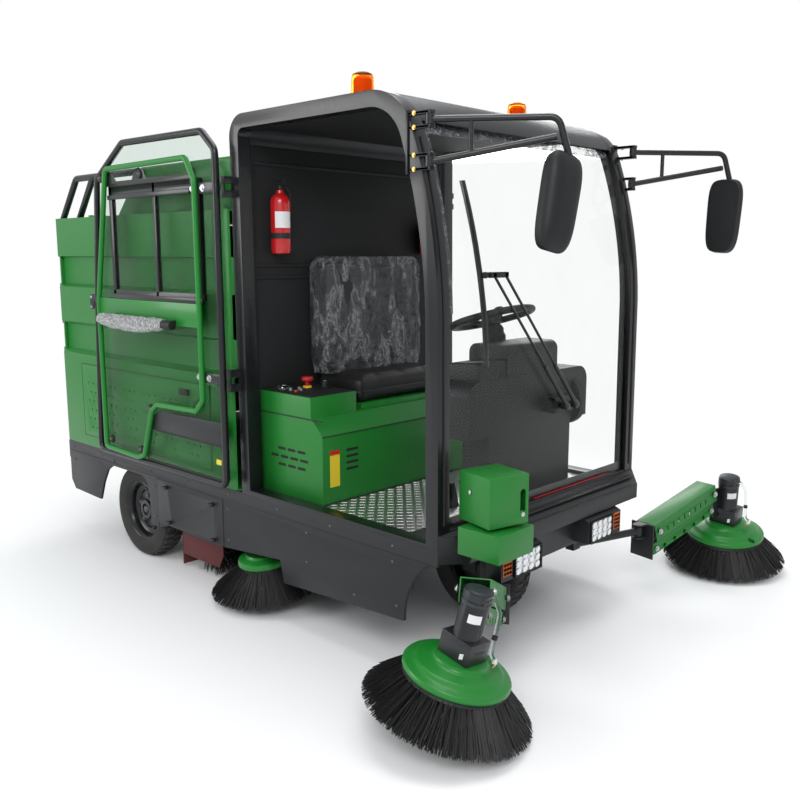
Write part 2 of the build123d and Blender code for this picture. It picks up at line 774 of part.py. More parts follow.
# Doors in the open pose: black outer tube, green inner tube with its plate, and glazing
door_outline = [
    # x, z, from the lower rear corner round to the lower hinge corner
    (-1185, 533), (-1139, 1275), (-1083, 1839), (-837, 1986), (-215, 1981), (-127, 1905), (-120, 533),
]
inner_outline = [
    (-1099, 1276), (-976, 1880), (-316, 1885), (-257, 1793), (-250, 885), (-300, 833), (-618, 824),
    (-663, 791), (-745, 570), (-800, 552), (-1100, 560),
]
inner_tube_y = door_plane_y + door_sheet / 2 + seat_gap + inner_tube_radius
for name, side in [("right", -1), ("left", 1)]:
    with BuildPart() as door_frame:
        y = side * door_plane_y
        bent_tube([(x, y, z) for x, z in door_outline], door_tube_radius, door_bend, close=True)
        for low, high in [(937, 1029), (1718, 1798)]:
            third = (high - low) / 3
            middle = (low + third + 2, high - third - 2)
            rod((door_hinge_x, side * door_hinge_y, middle[0]), (door_hinge_x, side * door_hinge_y, middle[1]), door_knuckle_radius)
            block((-124, door_hinge_x), (side * (door_hinge_y - 3), side * (door_hinge_y + 11)), middle)
            rod(
                (door_hinge_x, side * door_hinge_y, low),
                (door_hinge_x, side * door_hinge_y, high),
                door_pin_radius + running_gap,
                Mode.SUBTRACT,
            )
        y = side * inner_tube_y
        bent_tube([(x, y, z) for x, z in inner_outline], inner_tube_radius, 26, close=True)
        block((-1100, -250), (side * (inner_tube_y - 2), side * (inner_tube_y + 2)), (1190, 1290))
    save(door_frame, f"door_frame_{name}")
    with BuildPart() as door_glass:
        with BuildSketch(side_plane(side * door_plane_y - door_sheet / 2)) as pane:
            with BuildLine():
                FilletPolyline(*door_outline, radius=door_bend, close=True)
            make_face()
            offset(amount=-door_tube_radius - seat_gap, mode=Mode.REPLACE)
        extrude(amount=-door_sheet)
    save(door_glass, f"door_glass_{name}")

# Side brushes: swing bracket, two arm channels, motor carrier and brush
arms = [
    # name, pivot x, pivot y, azimuth, rise, rim centre x, y, z, lean forward, lean to the left
    ("right", 1010, -328, -60.5, 24.4, 1228, -806, 205, 12.0, 7.5),
    ("left", 1062, 640, 79.0, 15.5, 1204, 1228, 178, 5.0, -8.0),
]


def arm_plane(x, y, azimuth):
    """Upright plane through a swing pivot: local x runs out along the arm, local y is up."""
    turn = radians(azimuth)
    return Plane(origin=(x, y, 0), x_dir=(cos(turn), sin(turn), 0), z_dir=(sin(turn), -cos(turn), 0))


def cross_pin(plane, u, w, half, radius, mode=Mode.ADD):
    """A pin across the arm at one place along it and one height."""
    rod(tuple(plane.from_local_coords((u, w, -half))), tuple(plane.from_local_coords((u, w, half))), radius, mode)


def along(start, rise, distance, drop=0):
    """A point some way along a rising line and some way square to it, downwards."""
    turn = radians(rise)
    return (start[0] + distance * cos(turn) + drop * sin(turn), start[1] + distance * sin(turn) - drop * cos(turn))


def channel(plane, start, rise, top, bottom, width, open_below):
    """A bent sheet channel round two bolts, with its web above or below."""
    span = (-arm_end, arm_bolt_span + arm_end)
    slab(
        plane,
        [along(start, rise, span[0], top), along(start, rise, span[1], top), along(start, rise, span[1], bottom), along(start, rise, span[0], bottom)],
        -width / 2,
        width / 2,
    )
    if open_below:
        top, bottom = top + arm_sheet, bottom + 10
    else:
        top, bottom = top - 10, bottom - arm_sheet
    span = (span[0] - 10, span[1] + 10)
    slab(
        plane,
        [along(start, rise, span[0], top), along(start, rise, span[1], top), along(start, rise, span[1], bottom), along(start, rise, span[0], bottom)],
        -width / 2 + arm_sheet,
        width / 2 - arm_sheet,
        Mode.SUBTRACT,
    )


pin_half = arm_width / 2 + 8
fork_clear = swing_knuckle_radius + 6
for name, x, y, azimuth, rise, rim_x, rim_y, rim_z, forward, sideways in arms:
    plane = arm_plane(x, y, azimuth)
    upper = (arm_bolt_start, arm_bolt_height)
    lower = (arm_bolt_start, arm_bolt_height - arm_bolt_drop)
    upper_end = along(upper, rise, arm_bolt_span)
    lower_end = along(lower, rise, arm_bolt_span)
    with BuildPart() as arm_link:
        rod((x, y, swing_height - fork_clear - 7), (x, y, swing_height + fork_clear + 7), swing_pin_radius)
        for low in (swing_height - fork_clear - 7, swing_height + fork_clear):
            slab(plane, [(0, low), (34, low), (34, low + 7), (0, low + 7)], -24, 24)
            rod((x, y, low), (x, y, low + 7), 24)
        slab(plane, [(28, 165), (34, 165), (34, swing_height + fork_clear + 7), (28, swing_height + fork_clear + 7)], -60, 60)
        for face in (-cheek_offset - cheek_thickness, cheek_offset):
            slab(
                plane,
                [
                    (34, lower[1] - cheek_end), (34, upper[1] + cheek_end), (upper[0] + cheek_end, upper[1] + cheek_end),
                    (lower[0] + cheek_end, lower[1]), (lower[0] + 7, lower[1] - cheek_end + 2),
                ],
                face,
                face + cheek_thickness,
            )
        cross_pin(plane, *upper, pin_half, arm_bolt_radius)
        cross_pin(plane, *lower, low_arm_width / 2 + 4, arm_bolt_radius)
    save(arm_link, f"arm_link_{name}")

    with BuildPart() as upper_arm:
        channel(plane, upper, rise, -arm_top_rise, arm_flange - arm_top_rise, arm_width, True)
        for u, w in (upper, upper_end):
            cross_pin(plane, u, w, pin_half, arm_bolt_radius + running_gap, Mode.SUBTRACT)
    save(upper_arm, f"upper_arm_{name}")

    with BuildPart() as lower_arm:
        channel(plane, lower, rise, -arm_bolt_drop / 3, low_arm_drop, low_arm_width, False)
        for u, w in (lower, lower_end):
            cross_pin(plane, u, w, pin_half, arm_bolt_radius + running_gap, Mode.SUBTRACT)
    save(lower_arm, f"lower_arm_{name}")

    lean = Vector(tan(radians(forward)), tan(radians(sideways)), 1).normalized()
    spin = Plane(origin=(rim_x, rim_y, rim_z), x_dir=Vector(1, 0, 0) - lean * lean.X, z_dir=lean)
    gear_bottom = disc_height + 4
    with BuildPart() as motor_carrier:
        with BuildSketch(spin.offset(gear_bottom)) as gear_foot:
            Rectangle(gear_side + 24, gear_side)
        extrude(gear_foot.sketch, amount=gear_height)
        with BuildSketch(spin.offset(gear_bottom + gear_height)) as motor_foot:
            Circle(motor_radius)
        extrude(motor_foot.sketch, amount=motor_length)
        with BuildSketch(spin.offset(disc_height - 30)) as shaft_foot:
            Circle(brush_shaft_radius)
        extrude(shaft_foot.sketch, amount=gear_height)
        for face in (-cheek_offset - cheek_thickness, cheek_offset):
            slab(
                plane,
                [
                    (lower_end[0] - cheek_end, lower_end[1] - 6), (upper_end[0] - cheek_end, upper_end[1] + cheek_end),
                    (upper_end[0] + 74, upper_end[1] + cheek_end), (lower_end[0] + 74, lower_end[1] - 44),
                    (lower_end[0] + 37, lower_end[1] - 44), (lower_end[0] + 37, lower_end[1] - 1), (lower_end[0] + 8, lower_end[1] - 12),
                ],
                face,
                face + cheek_thickness,
            )
        cross_pin(plane, *upper_end, pin_half, arm_bolt_radius)
        cross_pin(plane, *lower_end, low_arm_width / 2 + 4, arm_bolt_radius)
    save(motor_carrier, f"motor_carrier_{name}")

    with BuildPart() as side_brush:
        bore = brush_shaft_radius + running_gap
        turned(
            [
                (bore, -8), (bristle_inner, -8), (tip_inner, -bristle_drop), (tip_radius, -bristle_drop),
                (disc_radius - 12, -8), (disc_radius, 0), (disc_radius, 12), (disc_radius - 8, 20),
                (disc_radius - 34, 28), (disc_radius - 40, 36), (disc_radius - 84, 46),
                (disc_radius - 90, disc_height), (bore, disc_height),
            ],
            spin,
        )
    save(side_brush, f"side_brush_{name}")

# Middle brushes under the sills
mid_lean_turn = radians(mid_lean)
mid_planes = {}
for name, side in [("right", -1), ("left", 1)]:
    lean = Vector(0, side * sin(mid_lean_turn), cos(mid_lean_turn))
    mid_planes[name] = Plane(origin=(mid_x, side * mid_y, mid_rim_height), x_dir=(1, 0, 0), z_dir=lean)

mid_motor_start = mid_disc_height + 6
mid_motor_length = 105
with BuildPart() as brush_mounts:
    for name, x, y, azimuth, rise, rim_x, rim_y, rim_z, forward, sideways in arms:
        rail_side = rail_y if y > 0 else -rail_y
        block((930, 970), (rail_side - 25, rail_side + 25), (swing_height - swing_knuckle_radius, rail_bottom))
        rod((950, rail_side, swing_height), (x, y, swing_height), swing_knuckle_radius - 3)
        knuckle = (swing_height - swing_knuckle_radius, swing_height + swing_knuckle_radius)
        rod((x, y, knuckle[0]), (x, y, knuckle[1]), swing_knuckle_radius)
        rod((x, y, swing_height - 40), (x, y, swing_height + 40), swing_pin_radius + running_gap, Mode.SUBTRACT)
    for name, side in [("right", -1), ("left", 1)]:
        spin = mid_planes[name]
        with BuildSketch(spin.offset(mid_motor_start)) as motor_foot:
            Circle(mid_motor_radius)
        extrude(motor_foot.sketch, amount=mid_motor_length)
        with BuildSketch(spin.offset(mid_disc_height - 24)) as shaft_foot:
            Circle(brush_shaft_radius)
        extrude(shaft_foot.sketch, amount=50)
        top = spin.from_local_coords((0, 0, mid_motor_start + mid_motor_length))
        block((mid_x - 24, mid_x + 24), (top.Y - 28, top.Y + 28), (top.Z - 12, rail_top - member_height))
save(brush_mounts, "brush_mounts")

for name, spin in mid_planes.items():
    with BuildPart() as mid_brush:
        bore = brush_shaft_radius + running_gap
        turned(
            [
                (bore, -8), (mid_bristle_inner, -8), (mid_tip_inner, -bristle_drop),
                (mid_tip_radius, -bristle_drop), (mid_disc_radius - 8, -8), (mid_disc_radius, 0),
                (mid_disc_radius, 14), (mid_disc_radius - 30, 24), (mid_disc_radius - 40, mid_disc_height),
                (bore, mid_disc_height),
            ],
            spin,
        )
    save(mid_brush, f"mid_brush_{name}")

# Roller brush in its housing
housing_outer_y = housing_inner_y + housing_plate
with BuildPart() as brush_housing:
    block((roller_box_rear, roller_box_front), (-housing_outer_y, housing_outer_y), (roller_box_bottom, rail_bottom))
    block(
        (roller_box_rear + housing_plate, roller_box_front - housing_plate),
        (-housing_inner_y, housing_inner_y),
        (roller_box_bottom - 1, rail_bottom - housing_plate),
        Mode.SUBTRACT,
    )
    for side in (-1, 1):
        block((roller_x - 40, roller_x + 40), (side * housing_inner_y, side * housing_outer_y), (roller_height - 34, roller_box_bottom + 2))
    rod((roller_x, -half_width, roller_height), (roller_x, half_width, roller_height), roller_shaft_radius + running_gap, Mode.SUBTRACT)
save(brush_housing, "brush_housing")

with BuildPart() as roller_brush:
    rod((roller_x, -roller_half_length, roller_height), (roller_x, roller_half_length, roller_height), roller_radius)
    rod((roller_x, -housing_outer_y + 1, roller_height), (roller_x, housing_outer_y - 1, roller_height), roller_shaft_radius)
save(roller_brush, "roller_brush")

# Red rubber flaps at the foot of the housing
flap_sheet = 5
with BuildPart() as rubber_flaps:
    for side in (-1, 1):
        low = housing_outer_y if side < 0 else -housing_outer_y - flap_sheet
        slab(side_plane(), [(-640, 86), (-640, 215), (-316, 215), (-316, 150), (-352, 86)], low, low + flap_sheet)
    block((roller_box_rear - flap_sheet, roller_box_rear), (-housing_outer_y, housing_outer_y), (30, 230))
save(rubber_flaps, "rubber_flaps")

# Mirrors: a bent tube frame that folds on its lugs, with its head at the end
mirrors = [
    # name, side, azimuth, head turn from square to the arm
    ("right", -1, 36.0, 30.0),
    ("left", 1, 50.0, 30.0),
]
head_height = 320
head_width = 165
head_depth = 62
head_centre_z = 1655
for name, side, azimuth, head_turn in mirrors:
    plane = arm_plane(mirror_pivot_x, side * mirror_pivot_y, azimuth)

    def frame_point(u, w):
        """A point of the mirror frame from its reach and its height."""
        return tuple(plane.from_local_coords((u, w, 0)))

    with BuildPart() as mirror:
        turn = radians(azimuth + side * head_turn)
        head_plane = Plane(
            origin=frame_point(mirror_reach + 34, head_centre_z),
            x_dir=(-sin(turn), cos(turn), 0),
            z_dir=(cos(turn), sin(turn), 0),
        )
        with BuildSketch(head_plane.offset(-head_depth / 2)):
            RectangleRounded(head_width, head_height, 55)
        extrude(amount=head_depth)
        foot = frame_point(mirror_reach + 34, head_centre_z + head_height / 2 - 20)
        bent_tube([frame_point(0, mirror_top), frame_point(mirror_reach, mirror_top), foot], mirror_tube_radius, 40)
        rod(frame_point(0, mirror_bottom), frame_point(mirror_reach - 4, mirror_top - 60), mirror_tube_radius)
        rod(frame_point(130, mirror_top - 104), frame_point(130, mirror_top), mirror_tube_radius - 2)
        for z in (mirror_bottom, mirror_top):
            rod(frame_point(0, z - 15), frame_point(0, z + 17), 15)
            rod(frame_point(0, z - 30), frame_point(0, z + 30), mirror_pin_radius + running_gap, Mode.SUBTRACT)
    save(mirror, f"mirror_{name}")

# Wiper: motor and pivots, two parallel arms and one blade bent to the glass


def glass_face(z):
    """How far forward the outer face of the windscreen lies at one height."""
    radius = pillar_radius - glass_inset
    reach = pillar_radius - crown_radius
    centre_x = crown_start - reach * sin(radians(crown_turn))
    centre_z = roof_height - crown_radius - reach * cos(radians(crown_turn))
    tangent = radians(90 - crown_turn - pillar_turn)
    end_x = centre_x + radius * cos(tangent)
    end_z = centre_z + radius * sin(tangent)
    if z > end_z:
        return centre_x + sqrt(radius**2 - (z - centre_z) ** 2)
    foot_x = body_front - glass_inset
    foot_z = sill_top + hoop_sill
    return end_x + (foot_x - end_x) * (end_z - z) / (end_z - foot_z)


clamp_y = -378
clamp_z = 1426
wiper_boss = 12
wiper_pin = 6
clamp_pin = 4
wiper_mid = wiper_x + wiper_boss / 2
wiper_shift = (clamp_y - wiper_main_y, clamp_z - wiper_height)
with BuildPart() as wiper_drive:
    glass_inner = glass_face(wiper_height) - glass_thickness - 4
    motor = (wiper_main_y - 30, wiper_main_y + wiper_spacing + 30)
    block((tower_front, glass_inner), motor, (wiper_height - 30, wiper_height + 30))
    for y in (wiper_main_y, wiper_main_y + wiper_spacing):
        rod((glass_face(wiper_height) + 1, y, wiper_height), (wiper_x - seat_gap, y, wiper_height), 14)
        rod((wiper_x - 1, y, wiper_height), (wiper_x + wiper_boss, y, wiper_height), wiper_pin)
save(wiper_drive, "wiper_drive")

for name, y in [("main", wiper_main_y), ("aux", wiper_main_y + wiper_spacing)]:
    with BuildPart() as wiper_arm:
        foot = (y, wiper_height)
        tip = (y + wiper_shift[0], wiper_height + wiper_shift[1])
        rod((wiper_mid, *foot), (wiper_mid, *tip), 5)
        for (at_y, at_z), boss, pin in [(foot, 14, wiper_pin), (tip, 9, clamp_pin)]:
            rod((wiper_x, at_y, at_z), (wiper_x + wiper_boss, at_y, at_z), boss)
            rod((wiper_x - 5, at_y, at_z), (wiper_x + wiper_boss + 5, at_y, at_z), pin + running_gap, Mode.SUBTRACT)
    save(wiper_arm, f"wiper_arm_{name}")

blade_length = 630
blade_lean = 5.5
blade_middle_y = -428
blade_width = 12
lip_gap = 8
spine_depth = 16
with BuildPart() as wiper_blade:
    lean = radians(blade_lean)
    blade_plane = Plane(origin=(0, blade_middle_y, clamp_z), x_dir=(1, 0, 0), z_dir=(0, -cos(lean), -sin(lean)))
    half = blade_length / 2
    low, mid, high = [glass_face(clamp_z + step) + lip_gap for step in (-half, 0, half)]
    with BuildSketch(blade_plane.offset(-blade_width / 2)):
        with BuildLine():
            ThreePointArc((low, -half), (mid, 0), (high, half))
            Line((high, half), (high + spine_depth, half))
            ThreePointArc((high + spine_depth, half), (mid + spine_depth, 0), (low + spine_depth, -half))
            Line((low + spine_depth, -half), (low, -half))
        make_face()
    extrude(amount=blade_width)
    bridge = (mid + spine_depth - 6, wiper_x - 4)
    block(bridge, (blade_middle_y, clamp_y + wiper_spacing + 10), (clamp_z - 9, clamp_z + 9))
    for y in (clamp_y, clamp_y + wiper_spacing):
        rod((wiper_x - 6, y, clamp_z), (wiper_x + wiper_boss, y, clamp_z), clamp_pin)
save(wiper_blade, "wiper_blade")
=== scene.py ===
"""Looks of the three-wheeled street sweeper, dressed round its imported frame.

Lengths in this file are millimetres until a piece is made, where they become metres.
+X points to the front, +Y to the vehicle's left and +Z up.
"""
import json
import random
from collections import namedtuple
from functools import partial
from math import cos, pi, radians, sin, sqrt, tan

import bmesh
import bpy
from mathutils import Matrix, Vector, noise

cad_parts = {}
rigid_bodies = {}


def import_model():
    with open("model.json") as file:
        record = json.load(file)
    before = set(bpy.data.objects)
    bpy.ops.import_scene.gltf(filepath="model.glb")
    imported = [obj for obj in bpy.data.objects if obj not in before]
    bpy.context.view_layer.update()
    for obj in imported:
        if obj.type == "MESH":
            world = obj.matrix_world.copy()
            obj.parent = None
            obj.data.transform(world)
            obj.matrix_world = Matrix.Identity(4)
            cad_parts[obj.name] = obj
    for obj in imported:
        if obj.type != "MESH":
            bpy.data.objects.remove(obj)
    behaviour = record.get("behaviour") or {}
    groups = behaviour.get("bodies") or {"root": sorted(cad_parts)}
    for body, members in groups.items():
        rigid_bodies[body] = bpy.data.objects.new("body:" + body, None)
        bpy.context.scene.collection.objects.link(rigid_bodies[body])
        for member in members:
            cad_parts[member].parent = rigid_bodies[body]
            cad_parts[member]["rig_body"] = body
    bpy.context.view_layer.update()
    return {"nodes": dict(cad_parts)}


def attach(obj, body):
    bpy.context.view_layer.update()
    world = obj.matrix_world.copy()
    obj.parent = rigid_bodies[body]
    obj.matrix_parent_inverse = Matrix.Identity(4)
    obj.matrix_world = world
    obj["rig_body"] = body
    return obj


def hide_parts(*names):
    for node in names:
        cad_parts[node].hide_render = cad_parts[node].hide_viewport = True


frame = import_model()
METRE = 0.001
ORIGIN = (0, 0, 0)
AHEAD, UP = (1, 0, 0), (0, 0, 1)
FULL_SIZE = (1, 1, 1)
SIDES = {"right": -1, "left": 1}

# Sizes shared with the frame
SKIRT_Y = 650
SILL_TOP = 504
WHEEL_RADIUS = 232
REAR_AXLE_X, FRONT_AXLE_X = -980, 685
REAR_WHEEL_Y = 561
PANE_EDGE_Y = 586
PILLAR_Y = 640
DOOR_Y = 700
INNER_TUBE_Y = 714.8
GRIP_Y = INNER_TUBE_Y + 34
CONTROL_TOP = 939


# Shader node groups


def feed(tree, socket, value):
    """Set a socket to a number or colour, or link it to another socket."""
    if isinstance(value, (int, float, tuple)):
        socket.default_value = value
    else:
        tree.links.new(value, socket)


def set_inputs(tree, node, values):
    """Feed a node's inputs by name."""
    for label, value in values.items():
        feed(tree, node.inputs[label], value)


def shader_group(name, inputs, outputs):
    """An empty shader node group with named sockets, and its two end nodes; only "Colour" is a colour."""
    group = bpy.data.node_groups.new(name, "ShaderNodeTree")
    for way, labels in (("INPUT", inputs), ("OUTPUT", outputs)):
        for label in labels:
            kind = "NodeSocketColor" if label == "Colour" else "NodeSocketFloat"
            socket = group.interface.new_socket(label, in_out=way, socket_type=kind)
            if way == "INPUT":
                socket.default_value = inputs[label]
    return group, group.nodes.new("NodeGroupInput"), group.nodes.new("NodeGroupOutput")


def noise_node(tree, coordinates, scale, detail, roughness):
    """A noise texture fed with coordinates."""
    texture = tree.nodes.new("ShaderNodeTexNoise")
    set_inputs(tree, texture, {
        "Vector": coordinates, "Scale": scale, "Detail": detail, "Roughness": roughness,
    })
    return texture.outputs["Fac"]


def math_node(tree, operation, first, second=None, clamp=False):
    """One math step between sockets or numbers."""
    node = tree.nodes.new("ShaderNodeMath")
    node.operation = operation
    node.use_clamp = clamp
    feed(tree, node.inputs[0], first)
    if second is not None:
        feed(tree, node.inputs[1], second)
    return node.outputs[0]


def mix_colour(tree, factor, first, second):
    """A colour mix between sockets or colours."""
    node = tree.nodes.new("ShaderNodeMix")
    node.data_type = "RGBA"
    for place, value in ((0, factor), (6, first), (7, second)):
        feed(tree, node.inputs[place], value)
    return node.outputs[2]


def object_coordinates(tree):
    """The piece's own coordinates, in metres."""
    return tree.nodes.new("ShaderNodeTexCoord").outputs["Object"]


def make_weathering():
    """Colour and roughness that vary a little, with road dust low down and wear on raised edges."""
    group, ins, outs = shader_group(
        "weathering",
        {"Colour": (0.5, 0.5, 0.5, 1), "Roughness": 0.4, "Variation": 0.1, "Dust": 0.1, "Wear": 0.1},
        ["Colour", "Roughness"],
    )
    step = partial(math_node, group)
    where = object_coordinates(group)
    broad = noise_node(group, where, 2.3, 5, 0.6)
    fine = noise_node(group, where, 60, 4, 0.6)
    shade = step("MULTIPLY", step("SUBTRACT", broad, 0.5), ins.outputs["Variation"])
    bright = group.nodes.new("ShaderNodeHueSaturation")
    set_inputs(group, bright, {"Value": step("ADD", shade, 1.0), "Color": ins.outputs["Colour"]})
    height = group.nodes.new("ShaderNodeSeparateXYZ")
    feed(group, height.inputs[0], where)
    low = step("SUBTRACT", 1.0, step("DIVIDE", height.outputs["Z"], 0.75), clamp=True)
    cloud = step("MULTIPLY", low, noise_node(group, where, 14, 6, 0.7))
    dusty = step("MULTIPLY", cloud, ins.outputs["Dust"], clamp=True)
    dusted = mix_colour(group, dusty, bright.outputs[0], (0.16, 0.15, 0.13, 1))
    shape = group.nodes.new("ShaderNodeNewGeometry").outputs["Pointiness"]
    sharp = step("MULTIPLY", step("SUBTRACT", shape, 0.52), 9.0, clamp=True)
    worn = step("MULTIPLY", step("MULTIPLY", sharp, fine), ins.outputs["Wear"], clamp=True)
    feed(group, outs.inputs["Colour"], mix_colour(group, worn, dusted, (0.32, 0.33, 0.33, 1)))
    spread = step("MULTIPLY", step("SUBTRACT", fine, 0.5), 0.16)
    rough = step("ADD", ins.outputs["Roughness"], spread)
    feed(group, outs.inputs["Roughness"], step("ADD", rough, step("MULTIPLY", dusty, 0.6), clamp=True))
    return group


def make_grain():
    """Height of an even grain over broader unevenness."""
    group, ins, outs = shader_group("surface grain", {"Scale": 300.0, "Fine": 0.5, "Broad": 0.2}, ["Height"])
    step = partial(math_node, group)
    where = object_coordinates(group)
    fine = step("MULTIPLY", noise_node(group, where, ins.outputs["Scale"], 3, 0.6), ins.outputs["Fine"])
    broad = step("MULTIPLY", noise_node(group, where, 9, 2, 0.5), ins.outputs["Broad"])
    feed(group, outs.inputs["Height"], step("ADD", fine, broad))
    return group


def make_creases():
    """Height of crumpled film, stretched along the vertical, and a painted highlight along its creases."""
    group, ins, outs = shader_group("creases", {"Scale": 18.0, "Stretch": 0.45}, ["Height", "Crease Highlight"])
    step = partial(math_node, group)
    parts = group.nodes.new("ShaderNodeSeparateXYZ")
    feed(group, parts.inputs[0], object_coordinates(group))
    stretched = group.nodes.new("ShaderNodeCombineXYZ")
    tall = step("MULTIPLY", parts.outputs["Z"], ins.outputs["Stretch"])
    set_inputs(group, stretched, {"X": parts.outputs["X"], "Y": parts.outputs["Y"], "Z": tall})
    broad = noise_node(group, stretched.outputs[0], ins.outputs["Scale"], 5, 0.62)
    ridge = step("ABSOLUTE", step("SUBTRACT", broad, 0.5))
    line = step("SUBTRACT", 1.0, step("MULTIPLY", ridge, 14.0), clamp=True)
    height = step("ADD", broad, step("MULTIPLY", line, 0.3))
    # The crease lines give real relief in Height; raised to a power they also give a painted highlight along
    # the creases.
    set_inputs(group, outs, {"Height": height, "Crease Highlight": step("POWER", line, 2.2)})
    return group


WEATHERING = make_weathering()
GRAIN = make_grain()
CREASES = make_creases()


# Materials


def new_material(name):
    """A material with its shader, ready for more nodes."""
    material = bpy.data.materials.new(name)
    material.use_nodes = True
    return material, material.node_tree, material.node_tree.nodes["Principled BSDF"]


def group_node(tree, group, values):
    """A use of a shader group, with its inputs set by name."""
    node = tree.nodes.new("ShaderNodeGroup")
    node.node_tree = group
    set_inputs(tree, node, values)
    return node


def add_bump(tree, shader, height, distance):
    """Relief from a height socket; distance in millimetres."""
    bump = tree.nodes.new("ShaderNodeBump")
    set_inputs(tree, bump, {"Distance": distance * METRE, "Strength": 1.0, "Height": height})
    feed(tree, shader.inputs["Normal"], bump.outputs[0])


def finish(name, colour, roughness, metallic, coat, variation, dust, wear, grain, depth):
    """A solid finish with weathering and grain."""
    material, tree, shader = new_material(name)
    look = group_node(tree, WEATHERING, {
        "Colour": (*colour, 1), "Roughness": roughness, "Variation": variation, "Dust": dust, "Wear": wear,
    })
    relief = group_node(tree, GRAIN, {"Scale": grain, "Broad": 0.3})
    set_inputs(tree, shader, {
        "Base Color": look.outputs["Colour"], "Roughness": look.outputs["Roughness"], "Metallic": metallic,
        "Coat Weight": coat, "Coat Roughness": 0.15, "Specular IOR Level": 0.32,
    })
    add_bump(tree, shader, relief.outputs["Height"], depth)
    return material


def glass_finish(name, colour, roughness=0.02):
    """Clear glass or plastic."""
    material, tree, shader = new_material(name)
    smear = noise_node(tree, object_coordinates(tree), 5, 6, 0.7)
    tint = mix_colour(tree, smear, (*colour, 1), tuple(0.94 * c for c in colour) + (1,))
    set_inputs(tree, shader, {
        "Base Color": tint, "Roughness": roughness, "Transmission Weight": 1.0, "IOR": 1.12,
    })
    return material


def film_finish(name, colour, scale, stretch, clear, strength):
    """Crumpled clear film: painted highlights along its creases, over a thin veil."""
    material, tree, shader = new_material(name)
    crease = group_node(tree, CREASES, {"Scale": scale, "Stretch": stretch})
    # Painted highlight: along the creases the film turns paler and more opaque, as much as strength gives.
    ridges = crease.outputs["Crease Highlight"]
    pale = tuple(min(0.8, 3.4 * c) for c in colour) + (1,)
    veil = math_node(tree, "ADD", math_node(tree, "MULTIPLY", ridges, strength), clear, clamp=True)
    tint = mix_colour(tree, ridges, (*colour, 1), pale)
    set_inputs(tree, shader, {"Base Color": tint, "Roughness": 0.16, "Alpha": veil})
    add_bump(tree, shader, crease.outputs["Height"], 9.0)
    return material


# Name, colour, roughness, metallic, coat, variation, dust, wear, grain, depth of the grain
GREEN = finish("green paint", (0.007, 0.165, 0.017), 0.42, 0, 0.08, 0.14, 0.05, 0.08, 420, 0.05)
GREEN_TUBE = finish(
    "green tube paint", (0.008, 0.185, 0.02), 0.34, 0, 0.16, 0.12, 0.04, 0.06, 420, 0.05,
)
BLACK = finish(
    "black satin paint", (0.0095, 0.0105, 0.012), 0.44, 0, 0.06, 0.12, 0.08, 0.1, 600, 0.08,
)
BLACK_GLOSS = finish(
    "black gloss paint", (0.006, 0.0065, 0.0075), 0.3, 0, 0.2, 0.12, 0.02, 0.06, 500, 0.05,
)
INTERIOR = finish(
    "black lining", (0.0065, 0.007, 0.0078), 0.66, 0, 0, 0.12, 0.03, 0.03, 900, 0.25,
)
PLASTIC = finish(
    "grained black plastic", (0.0085, 0.009, 0.0098), 0.5, 0, 0, 0.12, 0.04, 0.04, 1400, 0.3,
)
MOTOR_BLACK = finish(
    "motor casing", (0.008, 0.009, 0.011), 0.32, 0, 0.2, 0.12, 0.08, 0.1, 500, 0.1,
)
MOTOR_CAP = finish(
    "motor end cap", (0.018, 0.022, 0.027), 0.42, 0, 0, 0.12, 0.08, 0.05, 800, 0.15,
)
RUBBER = finish("tyre rubber", (0.009, 0.009, 0.0095), 0.72, 0, 0, 0.35, 0.28, 0.12, 500, 0.35)
SEAL = finish("rubber seal", (0.012, 0.012, 0.012), 0.6, 0, 0, 0.12, 0.2, 0.05, 700, 0.15)
RED_RUBBER = finish("dark red rubber", (0.085, 0.006, 0.008), 0.6, 0, 0, 0.3, 0.12, 0.05, 400, 0.3)
RED_PAINT = finish("red paint", (0.5, 0.008, 0.01), 0.25, 0, 0.6, 0.12, 0, 0.1, 400, 0.05)
ZINC = finish("zinc plated steel", (0.55, 0.56, 0.57), 0.32, 1, 0, 0.2, 0.1, 0, 700, 0.08)
BRASS = finish("yellow zinc", (0.55, 0.38, 0.12), 0.35, 1, 0, 0.3, 0.1, 0, 700, 0.08)
CHROME = finish("bright reflector", (0.82, 0.83, 0.84), 0.08, 1, 0, 0.05, 0, 0, 200, 0.02)
STEEL_DARK = finish("dark bare steel", (0.1, 0.095, 0.09), 0.45, 0.8, 0, 0.4, 0.4, 0.2, 500, 0.15)
CHECKER = finish("bright checker plate", (0.62, 0.62, 0.61), 0.3, 0.95, 0, 0.3, 0.12, 0, 260, 0.2)
LABEL = finish("blank white label", (0.72, 0.73, 0.73), 0.4, 0, 0, 0.08, 0.1, 0, 900, 0.04)
YELLOW = finish("blank yellow label", (0.72, 0.55, 0.03), 0.45, 0, 0, 0.06, 0.02, 0, 900, 0.04)
RED_LINE = finish("red stripe", (0.55, 0.01, 0.015), 0.4, 0, 0, 0.12, 0, 0, 900, 0.02)
BRISTLE = finish("black bristles", (0.006, 0.0065, 0.0075), 0.5, 0, 0, 0.6, 0.14, 0, 200, 0.05)
VINYL = finish("black vinyl", (0.014, 0.014, 0.015), 0.45, 0, 0, 0.12, 0.05, 0.05, 1100, 0.5)
AMBER_CORE = finish("amber core", (0.62, 0.13, 0.006), 0.45, 0, 0, 0.12, 0, 0, 200, 0.05)
RED_LENS = finish("red lens", (0.5, 0.01, 0.01), 0.15, 0, 0.6, 0.12, 0.1, 0, 120, 0.1)
LAMP_SILVER = finish("lamp reflector", (0.7, 0.72, 0.73), 0.22, 0.7, 0, 0.1, 0, 0, 300, 0.05)
MIRROR_GLASS = finish("mirror glass", (0.85, 0.87, 0.88), 0.02, 1, 0, 0.02, 0, 0, 100, 0)

